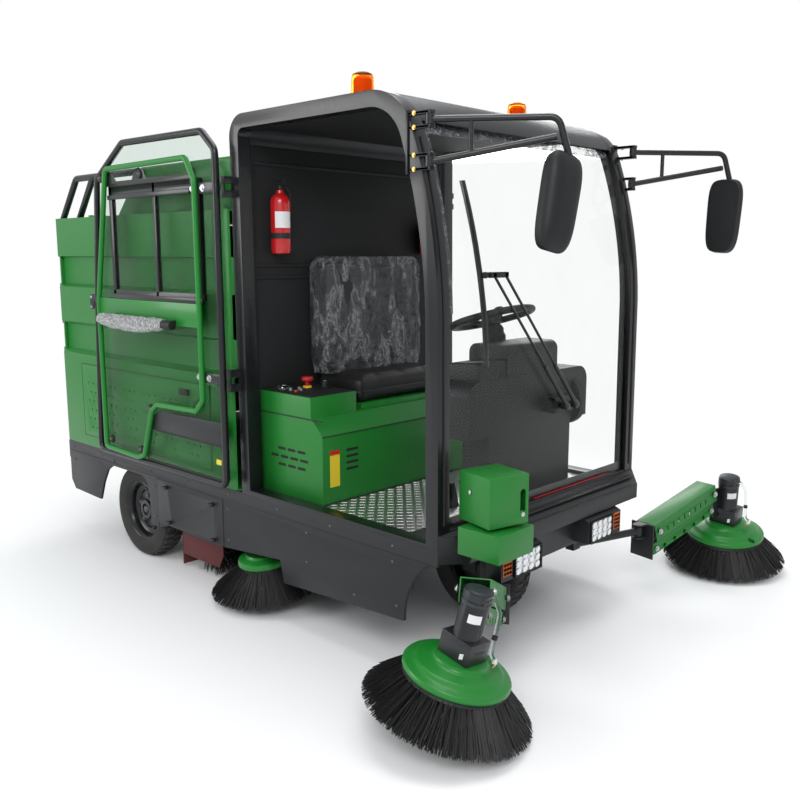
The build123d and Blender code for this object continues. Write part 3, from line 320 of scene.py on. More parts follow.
HOSE = glass_finish("clear hose", (0.86, 0.9, 0.9), 0.12)
WINDSCREEN = glass_finish("windscreen glass", (0.97, 0.985, 0.98))
DOOR_GLASS = glass_finish("tinted door glass", (0.74, 0.82, 0.77))
LENS = glass_finish("clear lens", (0.95, 0.96, 0.97), 0.05)
AMBER = glass_finish("amber lens", (1.0, 0.3, 0.02), 0.22)
FILM = film_finish("clear bag", (0.075, 0.078, 0.082), 7, 0.5, 0.5, 0.16)
FILM_DARK = film_finish("film on dark trim", (0.055, 0.058, 0.062), 16, 0.8, 0.6, 0.25)
FILM_BRIGHT = film_finish("film on the handle", (0.6, 0.61, 0.62), 60, 1.0, 0.45, 0.7)


# Shapes: every maker gives (points, faces) in millimetres


def joined(*shapes):
    """Several shapes as one."""
    points, faces = [], []
    for shape_points, shape_faces in shapes:
        start = len(points)
        points += [Vector(p) for p in shape_points]
        faces += [tuple(start + index for index in face) for face in shape_faces]
    return points, faces


def slab(side, near, far):
    """Limits along Y on one side, from two distances to the middle."""
    return sorted((side * near, side * far))


def box(x, y, z):
    """A box from its limits along each axis."""
    points = [(x[i], y[j], z[k]) for i in (0, 1) for j in (0, 1) for k in (0, 1)]
    faces = [(0, 1, 3, 2), (4, 6, 7, 5), (0, 4, 5, 1), (2, 3, 7, 6), (0, 2, 6, 4), (1, 5, 7, 3)]
    return points, faces


def circle(count):
    """Cosine and sine of even turns."""
    return [(cos(2 * pi * i / count), sin(2 * pi * i / count)) for i in range(count)]


def drum_faces(count):
    """Faces between two rings of points, with both ends."""
    faces = [tuple(range(count - 1, -1, -1)), tuple(range(count, 2 * count))]
    return faces + [(i, (i + 1) % count, count + (i + 1) % count, count + i) for i in range(count)]


def prism(outline, place, low, high):
    """An outline of (a, b) pairs pushed from low to high; place turns (a, b, depth) into a point."""
    return [Vector(place(a, b, depth)) for depth in (low, high) for a, b in outline], drum_faces(len(outline))


def side_place(a, b, depth):
    """Outline in X and Z, depth along Y."""
    return a, depth, b


def frame_of(axis):
    """An axis as a unit vector, with two more square to it."""
    axis = Vector(axis).normalized()
    first = axis.orthogonal().normalized()
    return axis, first, axis.cross(first)


def square_to(axis, direction):
    """The unit vector nearest to a direction that is square to an axis."""
    direction = Vector(direction)
    return (direction - axis * direction.dot(axis)).normalized()


def bar(start, end, radius, tip=None, sides=20):
    """A round bar or cone between two points."""
    start, end = Vector(start), Vector(end)
    _, across, up = frame_of(end - start)
    points = []
    for centre, size in ((start, radius), (end, radius if tip is None else tip)):
        points += [centre + size * (c * across + s * up) for c, s in circle(sides)]
    return points, drum_faces(sides)


def rounded(points, bend, closed, steps=7):
    """The points of a path with its corners rounded."""
    path = []
    for place, point in enumerate(points):
        if not closed and place in (0, len(points) - 1):
            path.append(point)
            continue
        back, ahead = points[place - 1] - point, points[(place + 1) % len(points)] - point
        cut = bend / tan(max(back.angle(ahead), 0.2) / 2)
        cut = min(cut, 0.45 * back.length, 0.45 * ahead.length)
        first, last = point + back.normalized() * cut, point + ahead.normalized() * cut
        for step in range(steps + 1):
            share = step / steps
            path.append(first.lerp(point, share).lerp(point.lerp(last, share), share))
    return path


def tube(points, radius, bend=0, closed=False, sides=14):
    """A round tube along a path with rounded corners."""
    path = [Vector(p) for p in points]
    if bend:
        path = rounded(path, bend, closed)
    count = len(path)
    ends = [path[(i + 1) % count] - path[i - 1] for i in range(count)]
    if not closed:
        ends[0], ends[-1] = path[1] - path[0], path[-1] - path[-2]
    across = ends[0].orthogonal().normalized()
    rings = []
    for point, along in zip(path, ends):
        along = along.normalized()
        across = (across - along * across.dot(along)).normalized()
        up = along.cross(across)
        rings += [point + radius * (c * across + s * up) for c, s in circle(sides)]
    faces = []
    for ring in range(count if closed else count - 1):
        here, there = ring * sides, ((ring + 1) % count) * sides
        for i in range(sides):
            faces.append((here + i, here + (i + 1) % sides, there + (i + 1) % sides, there + i))
    if not closed:
        faces += [tuple(range(sides - 1, -1, -1)), tuple(range((count - 1) * sides, count * sides))]
    return rings, faces


def spun(profile, centre=ORIGIN, axis=UP, sides=64, ring=False):
    """An outline of (radius, height) pairs turned about an axis; ring joins its last point to its first."""
    centre = Vector(centre)
    axis, across, up = frame_of(axis)
    points = []
    for c, s in circle(sides):
        out = c * across + s * up
        points += [centre + radius * out + height * axis for radius, height in profile]
    rows = len(profile)
    faces = []
    for i in range(sides):
        here, there = i * rows, ((i + 1) % sides) * rows
        for row in range(rows if ring else rows - 1):
            after = (row + 1) % rows
            faces.append((here + row, there + row, there + after, here + after))
    return points, faces


def ball(centre, radii, rings, sides):
    """An ellipsoid along the three axes."""
    profile = [(sin(pi * i / rings), -cos(pi * i / rings)) for i in range(rings + 1)]
    points, faces = spun(profile, sides=sides)
    return [Vector(centre) + Vector([p[n] * radii[n] for n in range(3)]) for p in points], faces


def skin(place, columns, rows):
    """A surface from a function of two shares, 0 to 1."""
    points = [Vector(place(i / columns, j / rows)) for i in range(columns + 1) for j in range(rows + 1)]
    faces = []
    for i in range(columns):
        for j in range(rows):
            corner = i * (rows + 1) + j
            faces.append((corner, corner + rows + 1, corner + rows + 2, corner + 1))
    return points, faces


# Finished pieces


def linked(name, data):
    """A new object in the scene."""
    obj = bpy.data.objects.new(name, data)
    bpy.context.scene.collection.objects.link(obj)
    return obj


def raw_object(name, shape):
    """An object in metres from a shape in millimetres."""
    mesh = bpy.data.meshes.new(name)
    mesh.from_pydata([Vector(p) * METRE for p in shape[0]], [], shape[1])
    return linked(name, mesh)


def settle(obj):
    """Apply every modifier of an object."""
    depsgraph = bpy.context.evaluated_depsgraph_get()
    mesh = bpy.data.meshes.new_from_object(obj.evaluated_get(depsgraph))
    obj.modifiers.clear()
    obj.data = mesh


def clean(mesh, closed=True):
    """Merge doubles and turn the faces of closed shells outwards."""
    work = bmesh.new()
    work.from_mesh(mesh)
    bmesh.ops.remove_doubles(work, verts=work.verts, dist=0.00002)
    bmesh.ops.dissolve_degenerate(work, edges=work.edges, dist=0.00001)
    if closed:
        bmesh.ops.recalc_face_normals(work, faces=work.faces)
    work.to_mesh(mesh)
    work.free()


def cut_holes(obj, cutter):
    """Take a shape in millimetres out of an object."""
    tool = raw_object("cutter", cutter)
    clean(tool.data)
    knife = obj.modifiers.new("holes", "BOOLEAN")
    knife.operation = "DIFFERENCE"
    knife.solver = "EXACT"
    knife.use_self = True
    knife.object = tool
    settle(obj)
    bpy.data.objects.remove(tool)


def dress(obj, body, material, bevel=0.0, smooth=38, segments=2, replaces=()):
    """Bevel, shade, paint and mount a piece."""
    if bevel:
        edge = obj.modifiers.new("edges", "BEVEL")
        edge.width = bevel * METRE
        edge.segments = segments
        edge.limit_method = "ANGLE"
        edge.angle_limit = radians(32)
        edge.use_clamp_overlap = True
        settle(obj)
    obj.data.materials.clear()
    obj.data.materials.append(material)
    for face in obj.data.polygons:
        face.material_index = 0
        face.use_smooth = True
    obj.data.set_sharp_from_angle(angle=radians(smooth))
    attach(obj, body)
    if replaces:
        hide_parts(*replaces)


def piece(name, shape, body, material, bevel=0.0, holes=None, closed=True, wall=0.0, **look):
    """A finished piece from a shape in millimetres."""
    obj = raw_object(name, shape)
    clean(obj.data, closed)
    if wall:
        solid = obj.modifiers.new("wall", "SOLIDIFY")
        solid.thickness = wall * METRE
        solid.offset = 0
        settle(obj)
    if holes:
        cut_holes(obj, holes)
    dress(obj, body, material, bevel, **look)


def fixed(name, shape, material, bevel=0.0, **look):
    """A finished piece on the vehicle's own body."""
    piece(name, shape, "vehicle", material, bevel, **look)


def from_node(node, material, bevel, segments=2, smooth=38, top=None, holes=None):
    """A bevelled copy of a frame node in its place, cut off flat at a height where one is given."""
    mesh = frame["nodes"][node].data.copy()
    work = bmesh.new()
    work.from_mesh(mesh)
    bmesh.ops.remove_doubles(work, verts=work.verts, dist=0.00002)
    if top:
        whole = list(work.verts) + list(work.edges) + list(work.faces)
        bmesh.ops.bisect_plane(work, geom=whole, plane_co=(0, 0, top * METRE), plane_no=UP, clear_outer=True)
        bmesh.ops.holes_fill(work, edges=[edge for edge in work.edges if edge.is_boundary])
    bmesh.ops.dissolve_limit(work, angle_limit=radians(1.5), verts=work.verts, edges=work.edges)
    work.to_mesh(mesh)
    work.free()
    obj = linked(f"{node}_shell", mesh)
    if holes:
        cut_holes(obj, holes)
    dress(obj, frame["nodes"][node]["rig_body"], material, bevel, smooth, segments, (node,))


# Copies on points, by geometry nodes


def make_copies_tree():
    """A tree that puts turned and sized copies of one object on the points of a mesh."""
    tree = bpy.data.node_groups.new("copies on points", "GeometryNodeTree")
    for label, kind in (("Points", "Geometry"), ("Copy", "Object"), ("Material", "Material")):
        tree.interface.new_socket(label, in_out="INPUT", socket_type=f"NodeSocket{kind}")
    tree.interface.new_socket("Mesh", in_out="OUTPUT", socket_type="NodeSocketGeometry")
    ins, outs = tree.nodes.new("NodeGroupInput"), tree.nodes.new("NodeGroupOutput")
    source = tree.nodes.new("GeometryNodeObjectInfo")
    source.inputs["As Instance"].default_value = True
    place = tree.nodes.new("GeometryNodeInstanceOnPoints")
    named = []
    for label in ("turn", "size"):
        node = tree.nodes.new("GeometryNodeInputNamedAttribute")
        node.data_type = "FLOAT_VECTOR"
        node.inputs["Name"].default_value = label
        named.append(node.outputs["Attribute"])
    angles = tree.nodes.new("FunctionNodeEulerToRotation")
    real = tree.nodes.new("GeometryNodeRealizeInstances")
    paint = tree.nodes.new("GeometryNodeSetMaterial")
    for output, socket in (
        (ins.outputs["Points"], place.inputs["Points"]),
        (ins.outputs["Copy"], source.inputs["Object"]),
        (source.outputs["Geometry"], place.inputs["Instance"]),
        (named[0], angles.inputs[0]),
        (angles.outputs[0], place.inputs["Rotation"]),
        (named[1], place.inputs["Scale"]),
        (place.outputs[0], real.inputs[0]),
        (real.outputs[0], paint.inputs["Geometry"]),
        (ins.outputs["Material"], paint.inputs["Material"]),
        (paint.outputs[0], outs.inputs["Mesh"]),
    ):
        tree.links.new(output, socket)
    return tree


COPIES = make_copies_tree()


def copies(name, unit, places, body, material, **look):
    """One mesh of copies of a unit shape; places are (point, direction of its Z, size along each axis)."""
    source = raw_object(f"{name}_unit", unit)
    clean(source.data)
    holder = raw_object(name, ([place[0] for place in places], []))
    turns, sizes = [], []
    for _, direction, size in places:
        turns += list(Vector(direction).to_track_quat("Z", "Y").to_euler())
        sizes += list(size)
    for label, values in (("turn", turns), ("size", sizes)):
        holder.data.attributes.new(label, "FLOAT_VECTOR", "POINT").data.foreach_set("vector", values)
    spread = holder.modifiers.new("copies", "NODES")
    spread.node_group = COPIES
    sockets = {item.name: item.identifier for item in COPIES.interface.items_tree if item.in_out == "INPUT"}
    spread[sockets["Copy"]] = source
    spread[sockets["Material"]] = material
    settle(holder)
    for label in ("turn", "size"):
        if label in holder.data.attributes:
            holder.data.attributes.remove(holder.data.attributes[label])
    bpy.data.objects.remove(source)
    dress(holder, body, material, **look)


BOLT = joined(bar(ORIGIN, (0, 0, 1.6), 11, sides=18), bar((0, 0, 1.6), (0, 0, 6.6), 8, 7.52, 6))
BUTTON_HEAD = spun([(0, 0), (6, 0), (5.4, 1.8), (3.4, 3.2), (0, 3.7)], sides=14)


def bolts(name, places, body, material, size=1.0, head=BOLT, smooth=30):
    """Bolt heads at (point, direction)."""
    spots = [(point, direction, (size, size, size)) for point, direction in places]
    copies(name, head, spots, body, material, smooth=smooth)


# Wheels

BLOCK_FACES = [(0, 2, 3, 1), (8, 9, 11, 10)]
for k in (0, 4):
    BLOCK_FACES += [(k, k + 1, k + 5, k + 4), (k + 2, k + 6, k + 7, k + 3)]
    BLOCK_FACES += [(k + 1, k + 3, k + 7, k + 5), (k, k + 4, k + 6, k + 2)]
TREAD = WHEEL_RADIUS - 8
BLOCKS_PER_SIDE = 36


def tread_block(centre, half, side, turn):
    """One block, from the tyre's middle over its shoulder to its wall."""
    across, along = Vector((0, side, 0)), Vector((-sin(turn), 0, cos(turn)))
    out = Vector((cos(turn), 0, sin(turn)))
    corners = []
    for reach, span, foot, top, pull in (
        # distance across, half length round, radius of the foot, radius of the top, top's shift inwards
        (0.1 * half, 8.5, TREAD - 6, WHEEL_RADIUS - 0.6, 0),
        (0.62 * half, 10.5, TREAD - 6, WHEEL_RADIUS - 2.5, 0),
        (0.97 * half, 11.5, TREAD - 26, TREAD - 9, 1.5),
    ):
        for shift in (-span, span):
            bent = shift + side * 0.12 * reach
            corners.append(centre + across * reach + along * bent + out * foot)
            corners.append(centre + across * (reach - pull) + along * bent * 0.93 + out * top)
    return corners, BLOCK_FACES


def wheel(name, centre, width, body, tyre_node, rim_node, outward):
    """A tyre with blocks along both shoulders and a deep dished rim."""
    centre, spin = Vector(centre), (0, outward, 0)
    half = width / 2
    wall = [(142, 0.72), (146, 0.86), (160, 0.95), (185, 1), (205, 0.99), (TREAD - 4, 0.9), (TREAD, 0.78)]
    profile = [(radius, -share * half) for radius, share in wall] + [(TREAD + 2, 0)]
    profile += [(radius, share * half) for radius, share in reversed(wall)]
    tyre = spun(profile, centre, (0, 1, 0), 96, ring=True)
    piece(f"{name}_tyre_body", tyre, body, RUBBER, smooth=50, replaces=(tyre_node,))
    blocks = [
        tread_block(centre, half, side, 2 * pi * (i + 0.25 * side) / BLOCKS_PER_SIDE)
        for side in (-1, 1) for i in range(BLOCKS_PER_SIDE)
    ]
    piece(f"{name}_tread_blocks", joined(*blocks), body, RUBBER, smooth=25)
    face = 0.39 * width
    dish = [
        (139, -face), (143, -face + 3), (146, face - 4), (147, face + 3), (143, face + 5), (138, face + 1),
        (132, face - 8), (128, face - 14), (126, 12), (116, 6), (104, 2), (98, 8), (84, 12), (58, 12),
        (50, 16), (47, 30), (30, 31), (27, 22), (21, 22), (21, -10), (60, -10), (100, -14), (122, -8),
        (124, -face),
    ]
    rim = spun(dish, centre, spin, 72, ring=True)
    piece(f"{name}_rim_dish", rim, body, BLACK_GLOSS, smooth=40, replaces=(rim_node,))

    def ring_spots(count, first, radius, depth):
        turns = [2 * pi * i / count + first for i in range(count)]
        return [centre + Vector((radius * cos(t), outward * depth, radius * sin(t))) for t in turns]

    bolts(f"{name}_wheel_nuts", [(spot, spin) for spot in ring_spots(5, 0.3, 70, 12)], body, STEEL_DARK, 1.2)
    pips = [(spot, spin, FULL_SIZE) for spot in ring_spots(10, 0.6, 99, 6.3)]
    copies(f"{name}_rim_pips", spun([(0, 0), (9, 0), (7, 3), (0, 3.5)], sides=16), pips, body, BLACK_GLOSS)
    cap = [(0, 34), (12, 34), (17, 31), (19, 26), (19, 18), (0, 18)]
    piece(f"{name}_hub_cap", spun(cap, centre, spin, 32), body, STEEL_DARK)


for side_name, side in SIDES.items():
    wheel(
        f"rear_{side_name}", (REAR_AXLE_X, side * REAR_WHEEL_Y, WHEEL_RADIUS), 118, f"rear_wheel_{side_name}",
        f"tyre_rear_{side_name}", f"rim_rear_{side_name}", side,
    )
wheel("front", (FRONT_AXLE_X, 0, WHEEL_RADIUS), 112, "front_wheel", "tyre_front", "rim_front", 1)


# Brushes


def leaning(forward, left):
    """The spin axis of a brush that leans forward and to the left by two angles."""
    return Vector((tan(radians(forward)), tan(radians(left)), 1)).normalized()


Arm = namedtuple("Arm", "pivot azimuth rise brush axis hose_way seed")
ARMS = {
    "right": Arm(
        (1010, -328), -60.5, 24.4, Vector((1228, -806, 205)), leaning(12.0, 7.5), (0.55, 0.3, 0), 16,
    ),
    "left": Arm((1062, 640), 79.0, 15.5, Vector((1204, 1228, 178)), leaning(5.0, -8.0), (0.87, 0.1, 0), 15),
}
STRAND = bar(ORIGIN, UP, 1.0, 0.8, 3)
STRANDS_PER_TUFT = 16
STRAND_THICKNESS = 1.5


def strands(name, centre, axis, rings, body, tufts, seed):
    """Bristles from (root radius, root height, tip radius, tip height) rings, gathered in tufts."""
    draw = random.Random(seed)
    axis, across, up = frame_of(axis)
    places = []
    for root_radius, root_height, tip_radius, tip_height in rings:
        for tuft in range(tufts):
            middle = 2 * pi * (tuft + draw.uniform(-0.15, 0.15)) / tufts
            for _ in range(STRANDS_PER_TUFT):
                turn = middle + draw.gauss(0, 0.22) * 2 * pi / tufts
                fan = middle + draw.gauss(0, 0.42) * 2 * pi / tufts
                out = cos(turn) * across + sin(turn) * up
                out_tip = cos(fan) * across + sin(fan) * up
                root = centre + (root_radius + draw.uniform(-4, 4)) * out + root_height * axis
                tip = centre + (tip_radius - abs(draw.gauss(0, 7))) * out_tip
                tip += (tip_height + abs(draw.gauss(0, 3))) * axis
                reach = tip - root
                places.append((root, reach, (STRAND_THICKNESS, STRAND_THICKNESS, reach.length)))
    copies(name, STRAND, places, body, BRISTLE, smooth=80, replaces=(body,))


def brush(body, centre, axis, disc, disc_sides, root, root_sides, rings, tufts, seed, holes=None):
    """A spinning brush: its green disc, its bristles and the ring that holds them."""
    plate = spun(disc, centre, axis, disc_sides, ring=True)
    piece(f"{body}_disc", plate, body, GREEN_TUBE, smooth=34, holes=holes, replaces=(body,))
    strands(f"{body}_bristles", centre, axis, rings, body, tufts, seed)
    piece(f"{body}_root_ring", spun(root, centre, axis, root_sides, ring=True), body, PLASTIC)


SIDE_DISC = [
    (13, -8), (150, -8), (164, -7), (174, -2), (176, 2), (176, 11), (172, 17), (164, 20), (150, 23),
    (146, 26), (140, 34), (132, 37), (100, 43), (92, 46), (88, 50), (86, 57), (80, 59), (13, 59),
]
SIDE_ROOT = [(116, -7), (165, -7), (172, -16), (122, -18)]
SIDE_RINGS = [(158, -6, 279, -120), (150, -6, 262, -124), (138, -6, 245, -126), (124, -6, 222, -127)]
outward = square_to(ARMS["left"].axis, (0.88, -0.3, 0))
notch = ARMS["left"].brush + 158 * outward
NOTCHES = {
    "right": None,
    "left": bar(notch - 22 * ARMS["left"].axis, notch + 40 * ARMS["left"].axis, 15, sides=24),
}
for side_name, arm in ARMS.items():
    brush(
        f"side_brush_{side_name}", arm.brush, arm.axis, SIDE_DISC, 96, SIDE_ROOT, 72, SIDE_RINGS, 64,
        arm.seed, NOTCHES[side_name],
    )

MID_DISC = [
    (13, -8), (98, -8), (108, -6), (112, -1), (112, 12), (108, 20), (98, 25), (84, 28), (78, 32), (72, 40),
    (13, 40),
]
MID_ROOT = [(62, -7), (104, -7), (112, -16), (70, -18)]
MID_RINGS = [(100, -6, 243, -118), (88, -6, 224, -122), (74, -6, 200, -125)]
MID_LEAN = radians(7)
for side_name, seed in (("right", 36), ("left", 35)):
    side = SIDES[side_name]
    centre, axis = Vector((-75, side * 550, 182)), Vector((0, side * sin(MID_LEAN), cos(MID_LEAN)))
    brush(f"mid_brush_{side_name}", centre, axis, MID_DISC, 72, MID_ROOT, 60, MID_RINGS, 54, seed)

ROLLER_X, ROLLER_Z = -480, 144
CORE_RADIUS = 58


def roller_strands(rows=6, per_row=620):
    """Bristles of the roller brush, in spiral rows round its core."""
    draw = random.Random(5)
    places = []
    for row in range(rows):
        for step in range(per_row):
            share = step / per_row
            y = -556 + 1112 * share
            turn = 2 * pi * (row / rows + 0.9 * share) + draw.gauss(0, 0.13)
            out = Vector((cos(turn), draw.gauss(0, 0.05), sin(turn)))
            root = Vector((ROLLER_X, y + draw.gauss(0, 3), ROLLER_Z))
            root += CORE_RADIUS * Vector((out.x, 0, out.z))
            reach = 138 - CORE_RADIUS - abs(draw.gauss(0, 3))
            places.append((root, out, (1.8, 1.8, reach)))
    copies("roller_bristles", STRAND, places, "roller", BRISTLE, smooth=80, replaces=("roller_brush",))


roller_strands()
piece("roller_core", joined(
    bar((ROLLER_X, -560, ROLLER_Z), (ROLLER_X, 560, ROLLER_Z), 62, sides=36),
    bar((ROLLER_X, -589, ROLLER_Z), (ROLLER_X, 589, ROLLER_Z), 15),
), "roller", PLASTIC)


# Arms of the side brushes, with their motors and water hoses

UPPER_PIVOT, LOWER_PIVOT = (80, 285), (80, 203)
ARM_LENGTH = 400
MOTOR_FOOT = 137.0


def arm_point(arm, along, height, across=0.0):
    """A point in the upright plane of an arm: distance from its pivot, height, distance across."""
    turn = radians(arm.azimuth)
    x = arm.pivot[0] + along * cos(turn) + across * sin(turn)
    y = arm.pivot[1] + along * sin(turn) - across * cos(turn)
    return Vector((x, y, height))


def rising(start, rise, distance, drop=0.0):
    """A place some way along a rising line and some way square to it, downwards."""
    turn = radians(rise)
    along = start[0] + distance * cos(turn) + drop * sin(turn)
    return along, start[1] + distance * sin(turn) - drop * cos(turn)


def arm_holes(arm, start, spots):
    """Cutters through a channel: (distance, drop, half length, half width, tilt) each."""
    cutters = []
    for distance, drop, half_length, half_width, tilt in spots:
        lean = radians(tilt)
        centre = rising(start, arm.rise, distance, drop)
        outline = []
        for c, s in circle(20):
            a = half_width * c
            b = half_width * s + (half_length - half_width) * (1 if s >= 0 else -1)
            outline.append((
                centre[0] + a * cos(lean) - b * sin(lean), centre[1] + a * sin(lean) + b * cos(lean),
            ))
        cutters.append(prism(outline, partial(arm_point, arm), -80, 80))
    return joined(*cutters)


def motor_label(name, carrier, middle, axis, toward, half_wide, half_tall, radius):
    """A thin label bent round the motor, or flat where the radius is zero."""
    width = axis.cross(toward)

    def place(a, b):
        sweep = (a - 0.5) * 2 * half_wide
        climb = (b - 0.5) * 2 * half_tall
        if radius:
            bend = sweep / radius
            return middle + radius * (cos(bend) * toward + sin(bend) * width) + climb * axis
        return middle + sweep * width + climb * axis

    piece(name, skin(place, 10, 2), carrier, LABEL, closed=False, wall=0.8)


for side_name, arm in ARMS.items():
    carrier, link = f"motor_carrier_{side_name}", f"arm_link_{side_name}"
    slots = [(62 + 39.5 * i, 14, 13, 3.6, arm.rise) for i in range(8)]
    rounds = [(58 + 71 * i, 12, 10.5, 10.4, 0) for i in range(5)]
    from_node(f"upper_arm_{side_name}", GREEN, 1.2, holes=arm_holes(arm, UPPER_PIVOT, slots))
    from_node(f"lower_arm_{side_name}", GREEN, 1.0, holes=arm_holes(arm, LOWER_PIVOT, rounds))
    from_node(link, BLACK, 1.2)
    from_node(carrier, MOTOR_BLACK, 1.5)
    turn = radians(arm.azimuth)
    across = Vector((sin(turn), -cos(turn), 0))
    for body, reach in ((link, 0), (carrier, ARM_LENGTH)):
        heads = []
        for pivot, half in ((UPPER_PIVOT, 58.5), (LOWER_PIVOT, 44.5)):
            along, height = rising(pivot, arm.rise, reach)
            heads += [(arm_point(arm, along, height, way * half), way * across) for way in (-1, 1)]
        bolts(f"{body}_bolts", heads, body, ZINC, 1.15)
    foot = arm.brush + MOTOR_FOOT * arm.axis
    cap = [(0, 154), (34, 154), (43, 150), (47.5, 142), (48, 124), (46.2, 122), (0, 122)]
    piece(f"{carrier}_motor_cap", spun(cap, foot, arm.axis, 48), carrier, MOTOR_CAP)
    band = [(46, 118), (48, 118), (48, 108), (46, 108)]
    piece(f"{carrier}_motor_band", spun(band, foot, arm.axis, 48, ring=True), carrier, MOTOR_BLACK)
    toward = square_to(arm.axis, (0.72, -0.69, 0))
    labelled = arm.brush + (MOTOR_FOOT + 70) * arm.axis
    motor_label(f"{carrier}_motor_label", carrier, labelled, arm.axis, toward, 22, 14, 46.9)
    labelled = arm.brush + 88 * arm.axis + 61.5 * toward
    motor_label(f"{carrier}_gear_label", carrier, labelled, arm.axis, toward, 20, 9, 0)

    toward = square_to(arm.axis, arm.hose_way)
    width = arm.axis.cross(toward)
    tip = arm.brush + 104 * toward + 74 * arm.axis
    stem = bar(tip - 16 * width, tip + 26 * width, 6, sides=16)
    collar = bar(tip + 2 * width, tip + 10 * width, 8.5, sides=16)
    piece(f"{carrier}_nozzle", joined(stem, collar), carrier, LABEL, 0.6)
    piece(f"{carrier}_nozzle_tip", bar(tip - 30 * width, tip - 16 * width, 3, 5.5, 14), carrier, BRASS)
    # The hose's route: height over the brush, distance out, distance aside
    route = [(262, 22, -52), (292, 52, -30), (236, 80, -8), (150, 84, 4), (96, 88, 0), (76, 100, 14)]
    hose = [arm.brush + height * arm.axis + reach * toward + aside * width for height, reach, aside in route]
    piece(f"{carrier}_hose", tube(hose, 6.5, 30, sides=12), carrier, HOSE)
    clip = bar(hose[3] - 4 * arm.axis, hose[3] + 8 * arm.axis, 9)
    piece(f"{carrier}_hose_clip", clip, carrier, PLASTIC, 0.8)


# Frame nodes that get bevelled edges and paint: material, bevel, segments

for node, material, bevel, segments in (
    ("steer_fork", BLACK, 2, 2), ("cab_hoops", BLACK_GLOSS, 7, 4), ("roof", BLACK, 2, 2),
    ("rear_wall", INTERIOR, 2, 2), ("cab_floor", BLACK, 1.5, 2), ("bumpers", BLACK, 3, 3),
    ("side_skirts", BLACK, 1.2, 2), ("tailgate", GREEN, 3, 2), ("filter_housing", GREEN, 4, 3),
    ("chassis_frame", BLACK, 1.5, 2), ("rear_axle", STEEL_DARK, 2, 2), ("brush_mounts", BLACK, 1.5, 2),
    ("brush_housing", BLACK, 1.5, 2), ("rubber_flaps", RED_RUBBER, 0.6, 2), ("battery_block", PLASTIC, 4, 2),
    ("console", PLASTIC, 4, 3), ("wiper_drive", PLASTIC, 1.5, 2), ("wiper_arm_main", BLACK_GLOSS, 0.8, 2),
    ("wiper_arm_aux", BLACK_GLOSS, 0.8, 2), ("wiper_blade", BLACK_GLOSS, 1.0, 2),
):
    from_node(node, material, bevel, segments)
from_node("guard_rails", BLACK_GLOSS, 0, smooth=50)
from_node("seat_box", GREEN, 2, top=935.5)
for node, material in (
    ("windscreen", WINDSCREEN), ("headlamp_lenses", LENS), ("door_glass_right", DOOR_GLASS),
    ("door_glass_left", DOOR_GLASS),
):
    frame["nodes"][node].data.materials.clear()
    frame["nodes"][node].data.materials.append(material)


# Cab: lining, windscreen trim, roof

fixed("rear_wall_ribs", joined(
    *[box((-62, -54), (-585, 585), (z - 7, z + 7)) for z in (1400, 1448, 1856)],
    *[box((-62, -52), (y - 8, y + 8), (510, 1925)) for y in (-572, 572)],
), INTERIOR, 3)

CROWN_X, CROWN_Z, CROWN_RADIUS = 690, 1822, 213
PANE_RADIUS = 1926
CROWN_TURN = radians(70)


def glass_line(height, inset):
    """How far forward the windscreen lies at a height, moved inwards."""
    radius, reach = PANE_RADIUS - inset, PANE_RADIUS - CROWN_RADIUS
    centre_x, centre_z = CROWN_X - reach * sin(CROWN_TURN), CROWN_Z - reach * cos(CROWN_TURN)
    end_x, end_z = centre_x + radius * cos(radians(2)), centre_z + radius * sin(radians(2))
    if height < end_z:
        return end_x + (1012 - inset - end_x) * (end_z - height) / (end_z - 522)
    if height < CROWN_Z + (CROWN_RADIUS - inset) * cos(CROWN_TURN):
        return centre_x + sqrt(max(radius * radius - (height - centre_z) ** 2, 0))
    return CROWN_X + sqrt(max((CROWN_RADIUS - inset) ** 2 - (height - CROWN_Z) ** 2, 0))


for part, y_low, y_high, z_low, z_high, material, inset, columns, rows in (
    ("foot_band", -588, 588, 567, 604, BLACK_GLOSS, 22.5, 8, 2),
    ("film_top", -PANE_EDGE_Y, PANE_EDGE_Y, 1888, 1975, FILM_DARK, 24, 60, 40),
    ("film_right", -588, -548, 1300, 1895, FILM_DARK, 24, 4, 60),
    ("red_line", -74, 456, 570, 574, RED_LINE, 13.0, 8, 1),
):
    def on_glass(a, b):
        """A point of a thin strip that follows the windscreen's curve."""
        height = z_low + (z_high - z_low) * b
        return glass_line(height, inset), y_low + (y_high - y_low) * a, height

    fixed(f"windscreen_{part}", skin(on_glass, columns, rows), material, closed=False, wall=1.0)

for side_name, side in SIDES.items():
    seal = [(glass_line(z, 34), side * PANE_EDGE_Y, z) for z in range(580, 1960, 40)]
    fixed(f"windscreen_seal_{side_name}", tube(seal, 7, sides=8), SEAL)
    groove = [(glass_line(z, -1.5), side * 620, z) for z in range(590, 1900, 40)]
    fixed(f"hoop_bead_{side_name}", tube(groove, 4, sides=8), SEAL)
headliner = [(-40, 1985), (640, 1985), (660, 2003), (-40, 2003)]
fixed("headliner", prism(headliner, side_place, -PANE_EDGE_Y, PANE_EDGE_Y), INTERIOR, 4)


# Beacons, lamps and their housings

